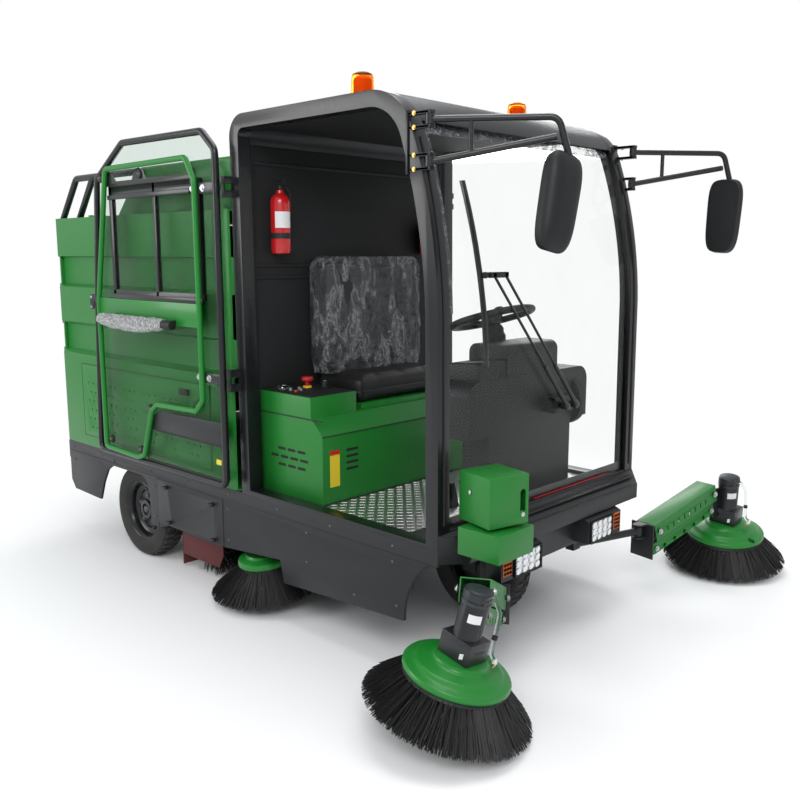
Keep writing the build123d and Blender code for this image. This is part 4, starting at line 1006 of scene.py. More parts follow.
BEACON_FOOT = [(0, 0), (52, 0), (52, 12), (47, 16), (0, 16)]
BEACON_DOME = [(0, 16), (46, 16), (46, 22), (43, 24)]
for i in range(7):
    height = 26 + 8.5 * i
    BEACON_DOME += [(43.5 - 0.6 * i, height), (42 - 0.6 * i, height + 4)]
BEACON_DOME += [(36, 88), (24, 94), (0, 96)]
BEACON_CORE = [(0, 17), (30, 17), (30, 70), (22, 80), (0, 82)]
for side_name, x, y in (("right", 530, -520), ("left", 545, 380)):
    spot = (x, y, 2035)
    fixed(f"beacon_{side_name}_foot", spun(BEACON_FOOT, spot, sides=48), PLASTIC, 0.8)
    fixed(f"beacon_{side_name}_lens", spun(BEACON_DOME, spot), AMBER, smooth=24, replaces=("signal_lamps",))
    fixed(f"beacon_{side_name}_core", spun(BEACON_CORE, spot, sides=32), AMBER_CORE)

LAMP_CUP = spun([(0, 1.2), (3, 1.2), (5, 1.6), (11, 4.4), (12.4, 4.6), (12.8, 0), (0, 0)], sides=20)
AMBER_CELL = spun([(0, 0), (7, 0), (6, 2.2), (0, 3)], sides=12)
for side_name, side in SIDES.items():
    low, high = slab(side, 172, 338)
    depth = (1100, 1109)
    fixed(f"headlamp_bezel_{side_name}", joined(
        box(depth, (low, high), (352, 358)), box(depth, (low, high), (438, 444)),
        box(depth, (low, low + 6), (352, 444)), box(depth, (high - 6, high), (352, 444)),
    ), PLASTIC, 1.5)
    cups = [
        (Vector((1100.2, low + 25 + 38.5 * column, 371 + 26.5 * row)), AHEAD, (1.3, 1.05, 1))
        for row in range(3) for column in range(4)
    ]
    copies(f"headlamp_cups_{side_name}", LAMP_CUP, cups, "vehicle", CHROME)
    panel = box((1099.5, 1101), (low + 4, high - 4), (356, 440))
    fixed(f"headlamp_panel_{side_name}", panel, LAMP_SILVER)
    low, high = slab(side, 352, 400)
    fixed(f"amber_base_{side_name}", box((1100, 1103), (low - 2, high + 2), (370, 439)), AMBER_CORE, 1)
    cells = [
        (Vector((1103, low + 8 + 16 * i, 380 + 16 * j)), AHEAD, FULL_SIZE)
        for i in range(3) for j in range(4)
    ]
    copies(f"amber_cells_{side_name}", AMBER_CELL, cells, "vehicle", AMBER)
    low, high = slab(side, 470, 610)
    fixed(f"tail_lamp_{side_name}", box((-1678, -1668), (low, high), (420, 476)), RED_LENS, 3)
    fixed(f"tail_lamp_rim_{side_name}", box((-1672, -1667), (low - 5, high + 5), (415, 481)), PLASTIC, 1)

fixed("bumper_trim", joined(
    box((1070, 1088), (-560, 560), (519, 525)), box((1030, 1060), (-588, 588), (545, 551)),
), SEAL, 2)


# Corner boxes

CUBE_TURN = radians(-14)
cube_front = Vector((cos(CUBE_TURN), sin(CUBE_TURN), 0))
cube_side = Vector((-sin(CUBE_TURN), cos(CUBE_TURN), 0))
cube_middle = Vector((1154, -533, 706))


def cube_point(a, b, depth):
    """A point of the upper box: to its left, up and to its front."""
    return cube_middle + a * cube_side + Vector((0, 0, b)) + depth * cube_front


keyhole = [(58 + 11 * c, 22 + 11 * s if s >= 0 else -38 + 4 * s) for c, s in circle(24)]
from_node("corner_boxes", GREEN, 2, holes=prism(keyhole, cube_point, 70, 92))
bolts("corner_box_bolt", [(cube_point(58, -52, 76), cube_front)], "vehicle", ZINC, 1.1)
lock = bar(cube_point(-83.5, 20, -20), cube_point(-87.5, 20, -20), 8, 7)
fixed("corner_box_lock", lock, ZINC, 0.6)
# Painted shade: a black block inside the upper corner box, so its inside looks dark.
fixed("corner_box_dark", box((1120, 1180), (-566, -500), (640, 776)), INTERIOR)


# Skirts and panels

SKIRT_SCREWS = [
    (-1600, 470), (-1290, 470), (-1590, 400), (-1320, 280), (-1330, 425), (-820, 470), (-500, 478),
    (-180, 478), (150, 478), (470, 478), (800, 478), (-190, 410), (-190, 270), (330, 300), (330, 420),
    (600, 240), (820, 260), (800, 420), (-790, 400), (-790, 250),
]
heads = [((x, side * SKIRT_Y, z), (0, side, 0)) for side in (-1, 1) for x, z in SKIRT_SCREWS]
bolts("skirt_screws", heads, "vehicle", STEEL_DARK, 1.0, BUTTON_HEAD, 60)
knobs, seams = [], []
for side in (-1, 1):
    for x, z in [(-665, 418), (-293, 411), (-644, 253), (-288, 250)]:
        y = side * (SKIRT_Y + 18)
        knobs.append(bar((x, side * (SKIRT_Y + 3), z), (x, side * (SKIRT_Y + 13), z), 7))
        knobs.append(bar((x - 17, y, z), (x + 17, y, z), 6, sides=12))
        knobs.append(bar((x, y, z - 9), (x, y, z + 9), 5, sides=12))
    y = slab(side, SKIRT_Y - 0.6, SKIRT_Y + 1.2)
    for x, z in (
        ((-1636, 1004), (447.5, 450)), ((-758.5, -755), (205, 447)), ((-228, -224.5), (232, 447)),
        ((-1160, -1157), (448, 470)),
    ):
        seams.append(box(x, y, z))
fixed("skirt_knobs", joined(*knobs), PLASTIC, 1)
fixed("skirt_seams", joined(*seams), SEAL)


# Hopper, tail gate, housing and rails

HATCH_X, HATCH_Z = (-1444, -292), (560, 936)
hatch_holes, hatch_seams, hatch_pulls, flap_strips, flap_bolts = [], [], [], [], []
for side in (-1, 1):
    for cluster in range(6):
        middle = -1330 + 182 * cluster
        for row in range(6):
            height = 612 + 46 * row
            for x in [middle + shift for shift in ((-46, 0, 46) if row % 2 else (-23, 23))]:
                hatch_holes.append(bar((x, side * 620, height), (x, side * 668, height), 5.2, sides=12))
    y = slab(side, 652.6, 653.6)
    hatch_seams += [box(HATCH_X, y, (z, z + 2)) for z in (HATCH_Z[1] - 2, HATCH_Z[0])]
    hatch_seams += [box((x, x + 2), y, HATCH_Z) for x in (HATCH_X[0], HATCH_X[1] - 2)]
    hatch_pulls.append(box((-514, -446), slab(side, 652.8, 667), (876, 904)))
    flap_bolts += [((x, side * 595.5, 203), (0, side, 0)) for x in range(-625, -320, 50)]
    flap_strips.append(box((-638, -318), slab(side, 594.8, 597), (192, 214)))
from_node("hopper_body", GREEN, 4, 3, holes=joined(*hatch_holes))
fixed("hatch_seams", joined(*hatch_seams), SEAL)
fixed("hatch_pulls", joined(*hatch_pulls), PLASTIC, 2)
fixed("flap_strip", joined(*flap_strips), BLACK, 0.6)
bolts("flap_bolts", flap_bolts, "vehicle", STEEL_DARK, 0.8)
gate_bars = joined(*[box((-1674, -1665), (-600, 600), (z - 16, z + 16)) for z in (700, 860)])
piece("tailgate_ribs", gate_bars, "tailgate", GREEN, 5)
gate_handle = tube([(-1668, -90, 628), (-1700, -90, 628), (-1700, 90, 628), (-1668, 90, 628)], 7, 14)
piece("tailgate_handle", gate_handle, "tailgate", BLACK_GLOSS)
fixed("number_plate_face", box((-1671, -1667.5), (-150, 150), (412, 478)), LABEL, 1)


# Doors

OUTER_OUTLINE = [
    (-1185, 533), (-1139, 1275), (-1083, 1839), (-837, 1986), (-215, 1981), (-127, 1905), (-120, 533),
]
INNER_OUTLINE = [
    (-1099, 1276), (-976, 1880), (-316, 1885), (-257, 1793), (-250, 885), (-300, 833), (-618, 824),
    (-663, 791), (-745, 570), (-800, 552), (-1100, 560),
]
BROW = [
    (-1010, 1801), (-1000, 1856), (-960, 1868), (-930, 1850), (-900, 1822), (-760, 1822), (-740, 1862),
    (-700, 1872), (-664, 1856), (-640, 1822), (-330, 1822), (-290, 1850), (-262, 1840), (-262, 1801),
]
GREY_BAND = [(-622, 790), (-664, 772), (-690, 700), (-138, 700), (-138, 800), (-300, 800)]
LOWER_PANE = [(-690, 700), (-740, 552), (-138, 552), (-138, 700)]
PADS = [(-1040, 1842), (-690, 1842), (-276, 1788), (-276, 870), (-690, 796), (-1062, 600), (-790, 588)]
WINDOW_X, WINDOW_Z = (-965, -237), (1307, 1801)


def window_frame(side):
    """The black frame of the door's sliding window, with its tracks and its divider."""
    (left, right), (foot, head) = WINDOW_X, WINDOW_Z
    y, track_y = slab(side, DOOR_Y - 14, DOOR_Y + 8), slab(side, DOOR_Y + 4, DOOR_Y + 15)
    return joined(
        box((left, right), y, (foot, foot + 26)), box((left, right), y, (head - 44, head)),
        box((left, left + 24), y, (foot, head)), box((right - 24, right), y, (foot, head)),
        box((-592, -570), y, (foot, head)),
        box((left - 6, right - 60), track_y, (head - 60, head - 40)),
        box((left - 6, right + 4), track_y, (foot - 16, foot + 6)),
    )


for side_name, side in SIDES.items():
    body, out = f"door_{side_name}", (0, side, 0)

    def on_door(reach, x, z):
        """A point at a distance in front of the door's middle plane."""
        return x, side * (DOOR_Y + reach), z

    def door_piece(name, shape, material, bevel=0.0, **look):
        """A finished piece of this door."""
        piece(f"{body}_{name}", shape, body, material, bevel, **look)

    replaced = (f"door_frame_{side_name}",)
    outer = tube([on_door(0, x, z) for x, z in OUTER_OUTLINE], 15, 42, closed=True, sides=16)
    door_piece("outer_tube", outer, BLACK_GLOSS, smooth=50, replaces=replaced)
    inner = tube([(x, side * INNER_TUBE_Y, z) for x, z in INNER_OUTLINE], 12.5, 30, closed=True, sides=16)
    door_piece("inner_tube", inner, GREEN_TUBE, smooth=50, replaces=replaced)
    plate = box((-1108, -251), slab(side, INNER_TUBE_Y - 2, INNER_TUBE_Y + 2), (1190, 1290))
    door_piece("plate", plate, GREEN_TUBE, 1.2)
    door_piece("window_frame", window_frame(side), BLACK_GLOSS, 2.5)
    low, high = slab(side, DOOR_Y + 2.4, DOOR_Y + 5)
    door_piece("window_brow", prism(BROW, side_place, low, high), BLACK_GLOSS, 0.8)
    door_piece("grey_band", prism(GREY_BAND, side_place, low, high), BLACK, 0.6)
    lower_seal = tube([on_door(3, x, z) for x, z in LOWER_PANE], 5, 14, closed=True, sides=8)
    door_piece("lower_seal", lower_seal, SEAL)
    pads = joined(*[bar(on_door(2, x, z), on_door(13, x, z), 21, 18) for x, z in PADS])
    door_piece("pads", pads, PLASTIC, 1.5)
    heads = [(on_door(13, x, z), out) for x, z in PADS]
    bolts(f"{body}_pad_screws", heads, body, STEEL_DARK, 1.6, BUTTON_HEAD, 60)
    straps, heads = [], []
    for middle in (983, 1758):
        straps.append(box((-286, -112), slab(side, DOOR_Y + 4, DOOR_Y + 9), (middle - 22, middle + 22)))
        heads += [(on_door(9, x, middle), out) for x in (-278, -205)]
    door_piece("hinge_straps", joined(*straps), BLACK_GLOSS, 1.5)
    bolts(f"{body}_hinge_bolts", heads, body, ZINC, 1.3)
    grip = tube([(-1023, side * GRIP_Y, 1195), (-410, side * GRIP_Y, 1195)], 19, sides=20)
    feet = [bar((x, side * INNER_TUBE_Y, 1205), (x, side * (GRIP_Y - 4), 1197), 11) for x in (-990, -440)]
    door_piece("grip", joined(grip, *feet), PLASTIC, 1)
    door_piece("latch", joined(
        box((-1172, -1108), slab(side, DOOR_Y + 12, DOOR_Y + 25), (1232, 1302)),
        bar(on_door(20, -1140, 1256), on_door(29, -1140, 1256), 14),
    ), PLASTIC, 2.5)
    bolts(f"{body}_latch_screws", [(on_door(25, -1156, z), out) for z in (1244, 1290)], body, ZINC, 0.7)
    sticker = box((-185, -150), slab(side, DOOR_Y + 2.1, DOOR_Y + 2.7), (618, 640))
    door_piece("sticker", sticker, YELLOW)


def grip_film(a, b):
    """Loose film round the right grip, sagging below it."""
    x = -1036 + 560 * a
    turn = 2 * pi * b
    bulge = 5 * noise.noise(Vector((x * 0.022, 4 * cos(turn), 4 * sin(turn))))
    bulge += 3 * noise.noise(Vector((x * 0.09, turn * 2, 1)))
    radius = (25 + bulge) * (0.82 + 0.18 * min(1, min(a, 1 - a) * 14))
    sag = 20 * (1 - abs(2 * a - 1) ** 2) if sin(turn) < -0.2 else 0
    return x, -GRIP_Y + radius * cos(turn), 1195 + radius * sin(turn) - sag


piece("door_right_grip_film", skin(grip_film, 110, 26), "door_right", FILM_BRIGHT, closed=False, smooth=25)


# Seat box, control box and seat


def vent_shade_patch(middle, along, normal, half_length, half_height):
    """A dark oblong with round ends, standing just proud of a wall: painted shade where a vent slot opens
    into the box.
    """
    middle, along, normal = Vector(middle), Vector(along), Vector(normal)
    straight = half_length - half_height
    outline = [(half_height * c + straight * (1 if c >= 0 else -1), half_height * s) for c, s in circle(16)]

    def place(a, b, depth):
        return middle + a * along + Vector((0, 0, b)) + depth * normal

    return prism(outline, place, -0.8, 0.5)


# Painted shade: dark oblongs on the seat box stand for the shadowed openings of its vent slots.
vent_shade_patches = []
for row, (count, first) in enumerate([(3, 118), (4, 72), (3, 118)]):
    for i in range(count):
        vent_shade_patches.append(vent_shade_patch((first + 62 * i - 40, -560, 706 - 34 * row), AHEAD, (0, -1, 0), 25, 6))
for row in range(4):
    vent_shade_patches.append(vent_shade_patch((331, -400, 716 - 26 * row), (0, 1, 0), AHEAD, 34, 5.5))
seat_box_foot = [(-58, -564, 508), (334, -564, 508), (334, 564, 508), (-58, 564, 508)]
gauge = [(0, 0), (33, 0), (33, 6), (30, 9), (27, 9), (25, 6), (0, 6)]
knob = [(0, 0), (20, 0), (20, 5), (15, 8), (14, 26), (12, 30), (0, 30)]
for name, shape, material, bevel in (
    ("seat_box_vents", joined(*vent_shade_patches), INTERIOR, 0),
    ("seat_back_plate", box((-53, -47), (-200, 200), (872, 1300)), BLACK, 1),
    ("seat_box_floor_seal", tube(seat_box_foot, 4, sides=8), SEAL, 0),
    ("seat_box_lip", joined(
        box((-60, 336), (-563, -559), (846, 850)), box((331, 334), (-563, 560), (784, 787)),
    ), SEAL, 0),
    ("seat_box_label_lower", box((331.2, 332), (-522, -470), (576, 706)), YELLOW, 0),
    ("seat_box_label_header", box((331.2, 332.2), (-522, -470), (708, 724)), RED_LINE, 0),
    ("control_plate", box((-54, 256), (-552, -316), (935.4, 938.4)), INTERIOR, 1),
    ("control_gauge_ring", spun(gauge, (-5, -480, 938), sides=40), CHROME, 0),
    ("control_gauge_glass", bar((-5, -480, 945.2), (-5, -480, 946), 24, sides=36), INTERIOR, 0),
    ("control_stop_collar", bar((62, -404, CONTROL_TOP), (62, -404, 948), 19), YELLOW, 1),
    ("control_knob", spun(knob, (112, -352, CONTROL_TOP), sides=32), PLASTIC, 0.8),
    ("control_knob_mark", box((108, 122), (-354, -350), (969, 970)), LABEL, 0),
    ("control_button_red", bar((128, -520, CONTROL_TOP), (128, -520, 949), 7), RED_PAINT, 0.6),
):
    fixed(name, shape, material, bevel)
stop = [(0, 0), (10, 0), (10, 26), (24, 30), (26, 38), (24, 46), (14, 49), (0, 49)]
fixed("control_stop_button", spun(stop, (62, -404, CONTROL_TOP), sides=36), RED_PAINT, smooth=30)
button = spun([(0, 0), (9, 0), (9, 7), (6, 7), (6, 11), (0, 11)], sides=20)
spots = [(Vector((x, y, CONTROL_TOP)), UP, FULL_SIZE) for x, y in ((70, -500), (100, -470), (70, -455))]
copies("control_buttons", button, spots, "vehicle", ZINC)


def cushion_shape(low, high, cells):
    """A closed box of even cells from its two corners."""
    grid, points, faces = {}, [], []

    def corner(key):
        if key not in grid:
            grid[key] = len(points)
            points.append(Vector([low[n] + (high[n] - low[n]) * key[n] / cells[n] for n in range(3)]))
        return grid[key]

    for n, (a, b) in enumerate(((1, 2), (2, 0), (0, 1))):
        for end in (0, cells[n]):
            for i in range(cells[a]):
                for j in range(cells[b]):
                    quad = []
                    for di, dj in ((0, 0), (1, 0), (1, 1), (0, 1)):
                        key = [0, 0, 0]
                        key[n], key[a], key[b] = end, i + di, j + dj
                        quad.append(corner(tuple(key)))
                    faces.append(tuple(quad if end else reversed(quad)))
    return points, faces


def puffed(name, low, high, node):
    """A vinyl pad swollen by simulated cloth inside the space of its frame node."""
    cell, most_swell, frames = 24, 14.0 * METRE, 20
    cells = [max(2, int((high[n] - low[n]) / cell)) for n in range(3)]
    obj = raw_object(name, cushion_shape(low, high, cells))
    clean(obj.data)
    soft = obj.modifiers.new("soften", "BEVEL")
    soft.width, soft.segments, soft.limit_method, soft.angle_limit = 0.022, 3, "ANGLE", radians(40)
    remesh = obj.modifiers.new("even", "REMESH")
    remesh.mode, remesh.voxel_size = "VOXEL", 0.011
    settle(obj)
    start = [vert.co.copy() for vert in obj.data.vertices]
    cloth = obj.modifiers.new("cloth", "CLOTH")
    cloth.settings.use_pressure = True
    cloth.settings.uniform_pressure_force = 4.0
    cloth.settings.effector_weights.gravity = 0
    cloth.settings.quality = 5
    cloth.settings.mass = 0.3
    cloth.point_cache.frame_end = frames
    for step in range(1, frames + 1):
        bpy.context.scene.frame_set(step)
    settle(obj)
    bpy.context.scene.frame_set(1)
    for vert, home in zip(obj.data.vertices, start):
        shift = vert.co - home
        if shift.length > most_swell:
            vert.co = home + shift.normalized() * most_swell
    finer = obj.modifiers.new("finer", "SUBSURF")
    finer.levels = finer.render_levels = 1
    settle(obj)
    dress(obj, "vehicle", VINYL, smooth=70, replaces=(node,))


puffed("seat_cushion_pad", (-34, -280, 884), (246, 280, 978), "seat_cushion")
puffed("seat_back_pad", (-36, -280, 1004), (54, 280, 1462), "seat_back")
cushion_seam = [(-30, -289, 925), (252, -289, 925), (252, 289, 925), (-30, 289, 925)]
fixed("seat_cushion_piping", tube(cushion_seam, 3.5, 30, closed=True, sides=8), VINYL)

BAG_COLUMNS, BAG_RINGS = 190, 8


def bag_wall(a, b):
    """The wall of the bag over the seat back: a runs round it, b up from its gathered foot."""
    turn = 2 * pi * a
    square = max(abs(cos(turn)), abs(sin(turn)))
    wide = 302 * cos(turn) / square ** 0.86
    deep = 66 * sin(turn) / square ** 0.8
    height = 985 + 500 * b
    fan = noise.noise(Vector((wide * 0.018 + 3, height * 0.004, deep * 0.02)))
    fold = abs(noise.noise(Vector((wide * 0.012 + 0.004 * height, height * 0.0035 + 5, deep * 0.02)))) ** 0.6
    crinkle = noise.noise(Vector((wide * 0.07, height * 0.05, deep * 0.07)))
    top = max(0.0, (b - 0.9) / 0.1)
    shrink = 1 - 0.13 * top * top
    foot = max(0.0, (0.12 - b) / 0.12)
    swell = 9 * fan + 17 * (fold - 0.5) + 5 * crinkle
    slack = 1 - 0.05 * foot + 0.02 * sin(9 * turn) * foot
    x = 12 + (deep + swell * (1 if deep >= 0 else 0.3)) * shrink
    y = wide * shrink * slack + 4 * fan
    return max(x, -54), y, min(height + 6 * crinkle * foot, 1484)


def seat_bag():
    """A loose clear bag over the seat back, closed at its top."""
    points, faces = skin(bag_wall, BAG_COLUMNS, 110)
    start = len(points)
    centre = Vector((12, 0, 1486))
    for ring in range(BAG_RINGS + 1):
        for i in range(BAG_COLUMNS):
            spot = Vector(bag_wall(i / BAG_COLUMNS, 1.0)).lerp(centre, ring / BAG_RINGS)
            spot.z += 2 + 4 * noise.noise(Vector((spot.x * 0.05, spot.y * 0.03, 7)))
            points.append(spot)
    for ring in range(BAG_RINGS):
        for i in range(BAG_COLUMNS):
            a = start + ring * BAG_COLUMNS + i
            b = start + ring * BAG_COLUMNS + (i + 1) % BAG_COLUMNS
            faces.append((a, b, b + BAG_COLUMNS, a + BAG_COLUMNS))
    fixed("seat_bag", (points, faces), FILM, closed=False, smooth=28)


seat_bag()


# Checker plate floor

fixed("floor_plate", box((300, 800), (-585, 585), (SILL_TOP + 0.3, SILL_TOP + 3)), CHECKER, 0.5)
ridge_points, ridge_faces = prism([(-15, 0), (-9, 1.6), (9, 1.6), (15, 0)], side_place, -3, 3)
ridges = []
for x in range(320, 793, 26):
    for y in range(-570, 565, 27):
        way = 1 if ((x - 320) // 26 + (y + 570) // 27) % 2 else -1
        place = Matrix.Translation((x, y, SILL_TOP + 2.9)) @ Matrix.Rotation(way * radians(45), 4, "Z")
        ridges.append(([place @ point for point in ridge_points], ridge_faces))
fixed("floor_ridges", joined(*ridges), CHECKER, smooth=30)


# Console and steering wheel

fixed("console_seams", joined(
    box((788, 790.6), (-300, 300), (958, 961)), box((798, 800.6), (-200, -198), (520, 826)),
    box((798, 800.6), (198, 200), (520, 826)), box((798, 800.6), (-268, 268), (700, 702)),
), SEAL)
lobe = [(0, -22), (96, -22), (108, -14), (110, 0), (108, 14), (96, 22), (0, 22)]
fixed("console_round_cover", spun(lobe, (868, 318, 905), (0.05, 0.2, 0.02), 56), PLASTIC, smooth=40)
wing = [(742, 1010), (742, 1070), (770, 1098), (920, 1112), (924, 1010)]
fixed("console_wing", prism(wing, side_place, -330, -160), PLASTIC, 8, segments=3)
switch = joined(bar((789, -250, 1000), (781, -250, 1000), 12), bar((784, -250, 1000), (772, -250, 1000), 6))
fixed("ignition_switch", switch, ZINC, 0.8)
rockers = [(Vector((789.8, y, 1000)), (-1, 0, 0), FULL_SIZE) for y in (-190, -150, 150, 190, 230)]
copies("console_rockers", box((-9, 9), (-14, 14), (0, 4)), rockers, "vehicle", BLACK_GLOSS)

COLUMN_LEAN = radians(17)
RIM_RADIUS = 161
wheel_centre = Vector((723, 0, 1245))
wheel_axis = Vector((-sin(COLUMN_LEAN), 0, cos(COLUMN_LEAN)))
wheel_front = Vector((cos(COLUMN_LEAN), 0, sin(COLUMN_LEAN)))


def wheel_spot(radius, turn, height=0.0):
    """A point of the steering wheel."""
    out = cos(turn) * wheel_front + sin(turn) * Vector((0, 1, 0))
    return wheel_centre + radius * out + height * wheel_axis


def steering_piece(name, shape, smooth, replaces=()):
    """A finished piece of the steering wheel."""
    piece(f"steering_{name}", shape, "steering_wheel", PLASTIC, smooth=smooth, replaces=replaces)


rim_ring = tube([wheel_spot(RIM_RADIUS, 2 * pi * i / 64) for i in range(64)], 14, closed=True)
steering_piece("grip", rim_ring, 60, ("steering_wheel",))
spokes = []
for turn in (radians(30), radians(150), radians(270)):
    path = [wheel_spot(18, turn, -14), wheel_spot(80, turn, -16), wheel_spot(158, turn, -2)]
    spokes.append(tube(path, 9, 30, sides=12))
hub = spun([(0, -24), (34, -24), (36, -8), (34, 4), (20, 12), (0, 12)], wheel_centre, wheel_axis, 40)
steering_piece("spokes", joined(*spokes, hub), 45, ("steering_wheel",))
spinner = [(0, 0), (9, 0), (9, 14), (20, 20), (22, 32), (16, 45), (0, 48)]
steering_piece("knob", spun(spinner, wheel_spot(RIM_RADIUS, radians(115), 10), wheel_axis, 28), 45)
boot = [(0, 0), (38, 0), (34, 16), (38, 30), (33, 46), (36, 60), (30, 76), (0, 76)]
fixed("column_boot", spun(boot, wheel_centre - 110 * wheel_axis, wheel_axis, 36), SEAL, smooth=30)


# Extinguishers


def extinguisher(name, y, low, high):
    """A small bottle with its valve, handle, hose and wall clip."""
    x, radius, tall = -17, 41, high - low
    profile = [
        (0, 2), (30, 0), (38, 3), (radius, 12), (radius, tall - 44), (38, tall - 28), (28, tall - 14),
        (16, tall - 6), (14, tall + 6), (0, tall + 6),
    ]
    bottle = spun(profile, (x, y, low), sides=48)
    fixed(f"{name}_bottle", bottle, RED_PAINT, smooth=40, replaces=("extinguishers",))
    thin = (y - 5, y + 5)
    fixed(f"{name}_valve", joined(
        bar((x, y, high + 4), (x, y, high + 26), 11), box((x - 12, x - 4), thin, (high + 20, high + 48)),
        box((x - 8, x + 34), thin, (high + 26, high + 33)),
        box((x - 8, x + 30), thin, (high + 42, high + 48)),
    ), PLASTIC, 1.5)
    route = [(4, 0, 18), (6, 26, 20), (8, 46, -10), (12, 44, -90)]
    hose = tube([(x + ahead, y + aside, high + up) for ahead, aside, up in route], 5, 20, sides=10)
    fixed(f"{name}_hose", hose, SEAL)
    strap = [(radius + 0.4, 62), (radius + 2.4, 62), (radius + 2.4, 84), (radius + 0.4, 84)]
    clip = box((-62, x - 30), (y - 18, y + 18), (low + 60, low + 86))
    fixed(f"{name}_clip", joined(spun(strap, (x, y, low), sides=48, ring=True), clip), PLASTIC)

    def patch(a, b):
        turn = radians(-70 + 100 * a)
        reach = radius + 0.7
        return x + reach * cos(turn), y + reach * sin(turn), low + tall * (0.42 + 0.26 * b)

    fixed(f"{name}_label", skin(patch, 14, 2), LABEL, closed=False, wall=0.5)


extinguisher("extinguisher_right", -465, 1496, 1746)
extinguisher("extinguisher_left", 440, 1490, 1666)


# Mirrors

HEAD_SIDES = 64


def mirror(side_name, azimuth, turn_in, tilt, shift):
    """A folding tube frame with a tapered, crowned head."""
    body, side = f"mirror_{side_name}", SIDES[side_name]
    turn = radians(azimuth)

    def spot(reach, height):
        return Vector((958 + reach * cos(turn), side * PILLAR_Y + reach * sin(turn), height))

    arm = joined(
        tube([spot(0, 1916), spot(400, 1916), spot(434, 1800)], 11, 40),
        tube([spot(0, 1786), spot(396, 1856)], 11), tube([spot(130, 1812), spot(130, 1914)], 8, sides=12),
        *[bar(spot(0, z - 15), spot(0, z + 17), 15) for z in (1786, 1916)],
    )
    piece(f"{body}_arm", arm, body, BLACK_GLOSS, smooth=50, replaces=(body,))
    facing, lean = radians(azimuth + side * turn_in), radians(tilt)
    front = Vector((cos(facing), sin(facing), 0))
    wide = Vector((-sin(facing), cos(facing), 0))
    middle = spot(434, 1655) + shift * wide
    long_way = (cos(lean) * Vector(UP) + sin(lean) * wide).normalized()
    short_way = front.cross(long_way).normalized()

    def shell(a, b):
        """Crowned back of the head: a runs round it, b from its rim to its crown."""
        round_way = 2 * pi * a
        square = 1 / (abs(cos(round_way)) ** 4.2 + abs(sin(round_way)) ** 4.2) ** (1 / 4.2)
        share = cos(b * pi / 2) ** 0.62
        depth = 38 * sin(b * pi / 2)
        height = 156 * square * sin(round_way) * share
        taper = 1 - 0.1 * (0.5 - height / 312)
        width = 78 * square * cos(round_way) * share * taper
        return middle + height * long_way + width * short_way + (depth - 8) * front

    points, faces = skin(shell, HEAD_SIDES, 14)
    rim = [shell(i / HEAD_SIDES, 0) for i in range(HEAD_SIDES)]
    lip = [middle + (point - middle) * 0.97 - 22 * front for point in rim]
    start = len(points)
    points += rim + lip
    for i in range(start, start + HEAD_SIDES):
        after = start + (i - start + 1) % HEAD_SIDES
        faces.append((i, after, HEAD_SIDES + after, HEAD_SIDES + i))
    faces.append(tuple(range(start + HEAD_SIDES, start + 2 * HEAD_SIDES)))
    piece(f"{body}_head", (points, faces), body, PLASTIC, smooth=50)
    glass_rim = [middle + (point - middle) * 0.9 - 22.6 * front for point in lip]
    glass_rim = [point - (point - middle).dot(front) * front - 22.9 * front for point in glass_rim]
    glass = (glass_rim, [tuple(range(HEAD_SIDES))])
    piece(f"{body}_glass", glass, body, MIRROR_GLASS, closed=False, wall=1.2)
    y = slab(side, PILLAR_Y - 12, PILLAR_Y + 12)
    lugs = [box((870, 962), y, (z, z + 10)) for z in (1760, 1804, 1890, 1934)]
    lugs.append(box((866, 876), slab(side, PILLAR_Y - 14, PILLAR_Y + 16), (1750, 1952)))
    fixed(f"{body}_lugs", joined(*lugs), BLACK_GLOSS, 1.5)
    heads = [((900, side * (PILLAR_Y + 12), z), (0, side, 0)) for z in (1765, 1809, 1895, 1939)]
    bolts(f"{body}_lug_bolts", heads, "vehicle", BRASS, 0.7)


mirror("right", 36.0, 44.0, 11.0, -30)
mirror("left", 50.0, 30.0, -3.0, 12)


# Wiper

for arm_name, y in (("main", 103), ("aux", 168)):
    foot, tip = Vector((1020, y, 911)), Vector((1020, y - 481, 1426))
    sleeve = bar(foot, foot + 235 * (tip - foot).normalized(), 9, 8, 14)
    shape = joined(sleeve, ball(foot, (9, 17, 17), 8, 16))
    piece(f"wiper_sleeve_{arm_name}", shape, f"wiper_arm_{arm_name}", BLACK_GLOSS, smooth=40)
clamp = joined(box((1010, 1026), (-398, -300), (1416, 1436)), bar((1008, -420, 1426), (1022, -420, 1426), 11))
piece("wiper_clamp", clamp, "wiper_blade", PLASTIC, 2)


# Camera, light and ground

PHOTO_YAW, PHOTO_PITCH = radians(43.6), radians(9.54)
PHOTO_PLACE = (2.865, -2.780, 1.500)


def aimed(obj, place, direction):
    """Put a camera or lamp in its place, looking along a direction."""
    obj.location = place
    obj.rotation_mode = "QUATERNION"
    obj.rotation_quaternion = direction.to_track_quat("-Z", "Y")


camera_data = bpy.data.cameras.new("camera")
camera_data.sensor_width = 36.0
camera_data.lens = 39.375
camera = linked("camera", camera_data)
level = cos(PHOTO_PITCH)
look = Vector((-sin(PHOTO_YAW) * level, cos(PHOTO_YAW) * level, -sin(PHOTO_PITCH)))
aimed(camera, PHOTO_PLACE, look)
bpy.context.scene.camera = camera


def seen_rays(tree):
    """One for rays that see the background directly or through glass, less for reflections."""
    path = tree.nodes.new("ShaderNodeLightPath")
    seen = math_node(tree, "MAXIMUM", path.outputs["Is Camera Ray"], path.outputs["Is Transmission Ray"])
    return math_node(tree, "MAXIMUM", seen, math_node(tree, "MULTIPLY", path.outputs["Is Glossy Ray"], 0.35))


def mix_shaders(tree, share, first, second, surface):
    """Two shaders mixed by a share into an output's surface."""
    mix = tree.nodes.new("ShaderNodeMixShader")
    for socket, value in zip(mix.inputs, (share, first.outputs[0], second.outputs[0])):
        feed(tree, socket, value)
    feed(tree, surface, mix.outputs[0])


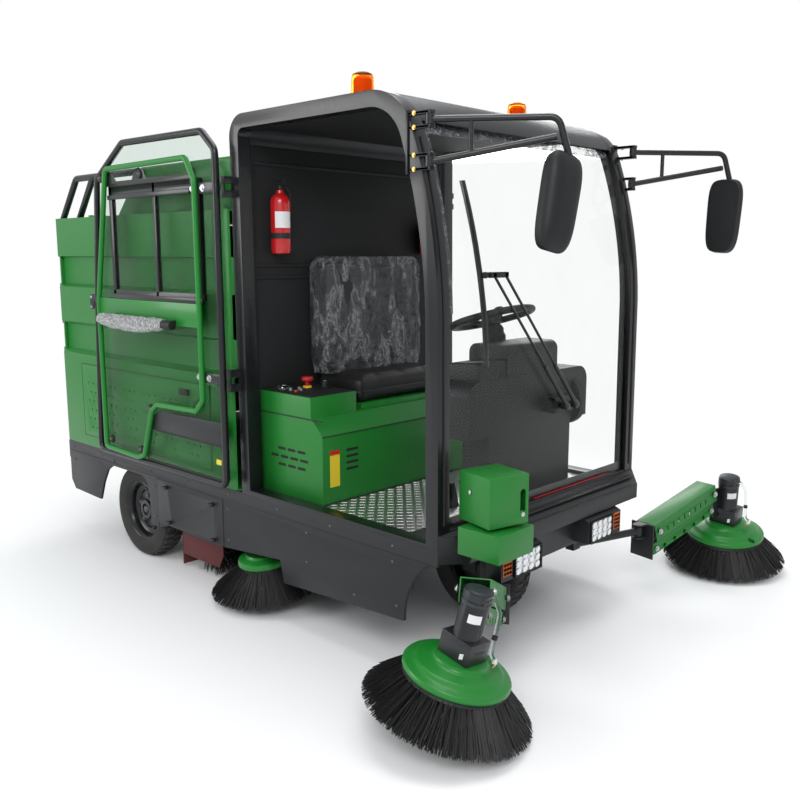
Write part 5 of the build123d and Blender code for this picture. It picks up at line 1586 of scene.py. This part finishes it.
def make_world():
    """Even studio light, with a white background for camera and see-through rays."""
    world = bpy.data.worlds.new("studio")
    bpy.context.scene.world = world
    world.use_nodes = True
    tree = world.node_tree
    tree.nodes.clear()
    backgrounds = []
    for colour, strength in (((0.93, 0.95, 1.0, 1), 0.62), ((1, 1, 1, 1), 1.0)):
        node = tree.nodes.new("ShaderNodeBackground")
        set_inputs(tree, node, {"Color": colour, "Strength": strength})
        backgrounds.append(node)
    out = tree.nodes.new("ShaderNodeOutputWorld")
    mix_shaders(tree, seen_rays(tree), *backgrounds, out.inputs["Surface"])


def area_light(name, place, target, size, power):
    """A soft rectangular lamp aimed at a point, all in metres and watts."""
    data = bpy.data.lights.new(name, "AREA")
    data.shape = "RECTANGLE"
    data.size, data.size_y = size
    data.energy = power
    aimed(linked(name, data), place, Vector(target) - Vector(place))


make_world()
area_light("key", (4.2, -4.6, 4.6), (0, 0, 0.8), (3.2, 2.2), 200)
area_light("fill", (-3.6, -4.8, 2.6), (-0.4, 0, 0.9), (3.0, 2.4), 110)
area_light("top", (0.2, 0.4, 5.4), (0, 0, 0), (4.5, 3.0), 150)
area_light("back", (-2.5, 5.0, 3.4), (0, 0, 1.0), (3.0, 2.0), 90)

GROUND_REACH = 40.0
ground_mesh = bpy.data.meshes.new("ground")
corners = [(a * GROUND_REACH, b * GROUND_REACH, 0) for a, b in ((-1, -1), (1, -1), (1, 1), (-1, 1))]
ground_mesh.from_pydata(corners, [], [(0, 1, 2, 3)])
ground = linked("ground", ground_mesh)
ground_material, tree, ground_shader = new_material("pale floor")
set_inputs(tree, ground_shader, {
    "Base Color": (0.93, 0.93, 0.93, 1), "Roughness": 0.9, "Specular IOR Level": 0.1,
})
distance = tree.nodes.new("ShaderNodeVectorMath")
distance.operation = "LENGTH"
feed(tree, distance.inputs[0], object_coordinates(tree))
far = math_node(tree, "SUBTRACT", distance.outputs["Value"], 1.7)
far = math_node(tree, "DIVIDE", far, 1.6, clamp=True)
white_share = math_node(tree, "MULTIPLY", far, seen_rays(tree))
plain_white = tree.nodes.new("ShaderNodeEmission")
surface = tree.nodes["Material Output"].inputs["Surface"]
mix_shaders(tree, white_share, ground_shader, plain_white, surface)
ground.data.materials.append(ground_material)

bpy.context.scene.view_settings.view_transform = "Standard"
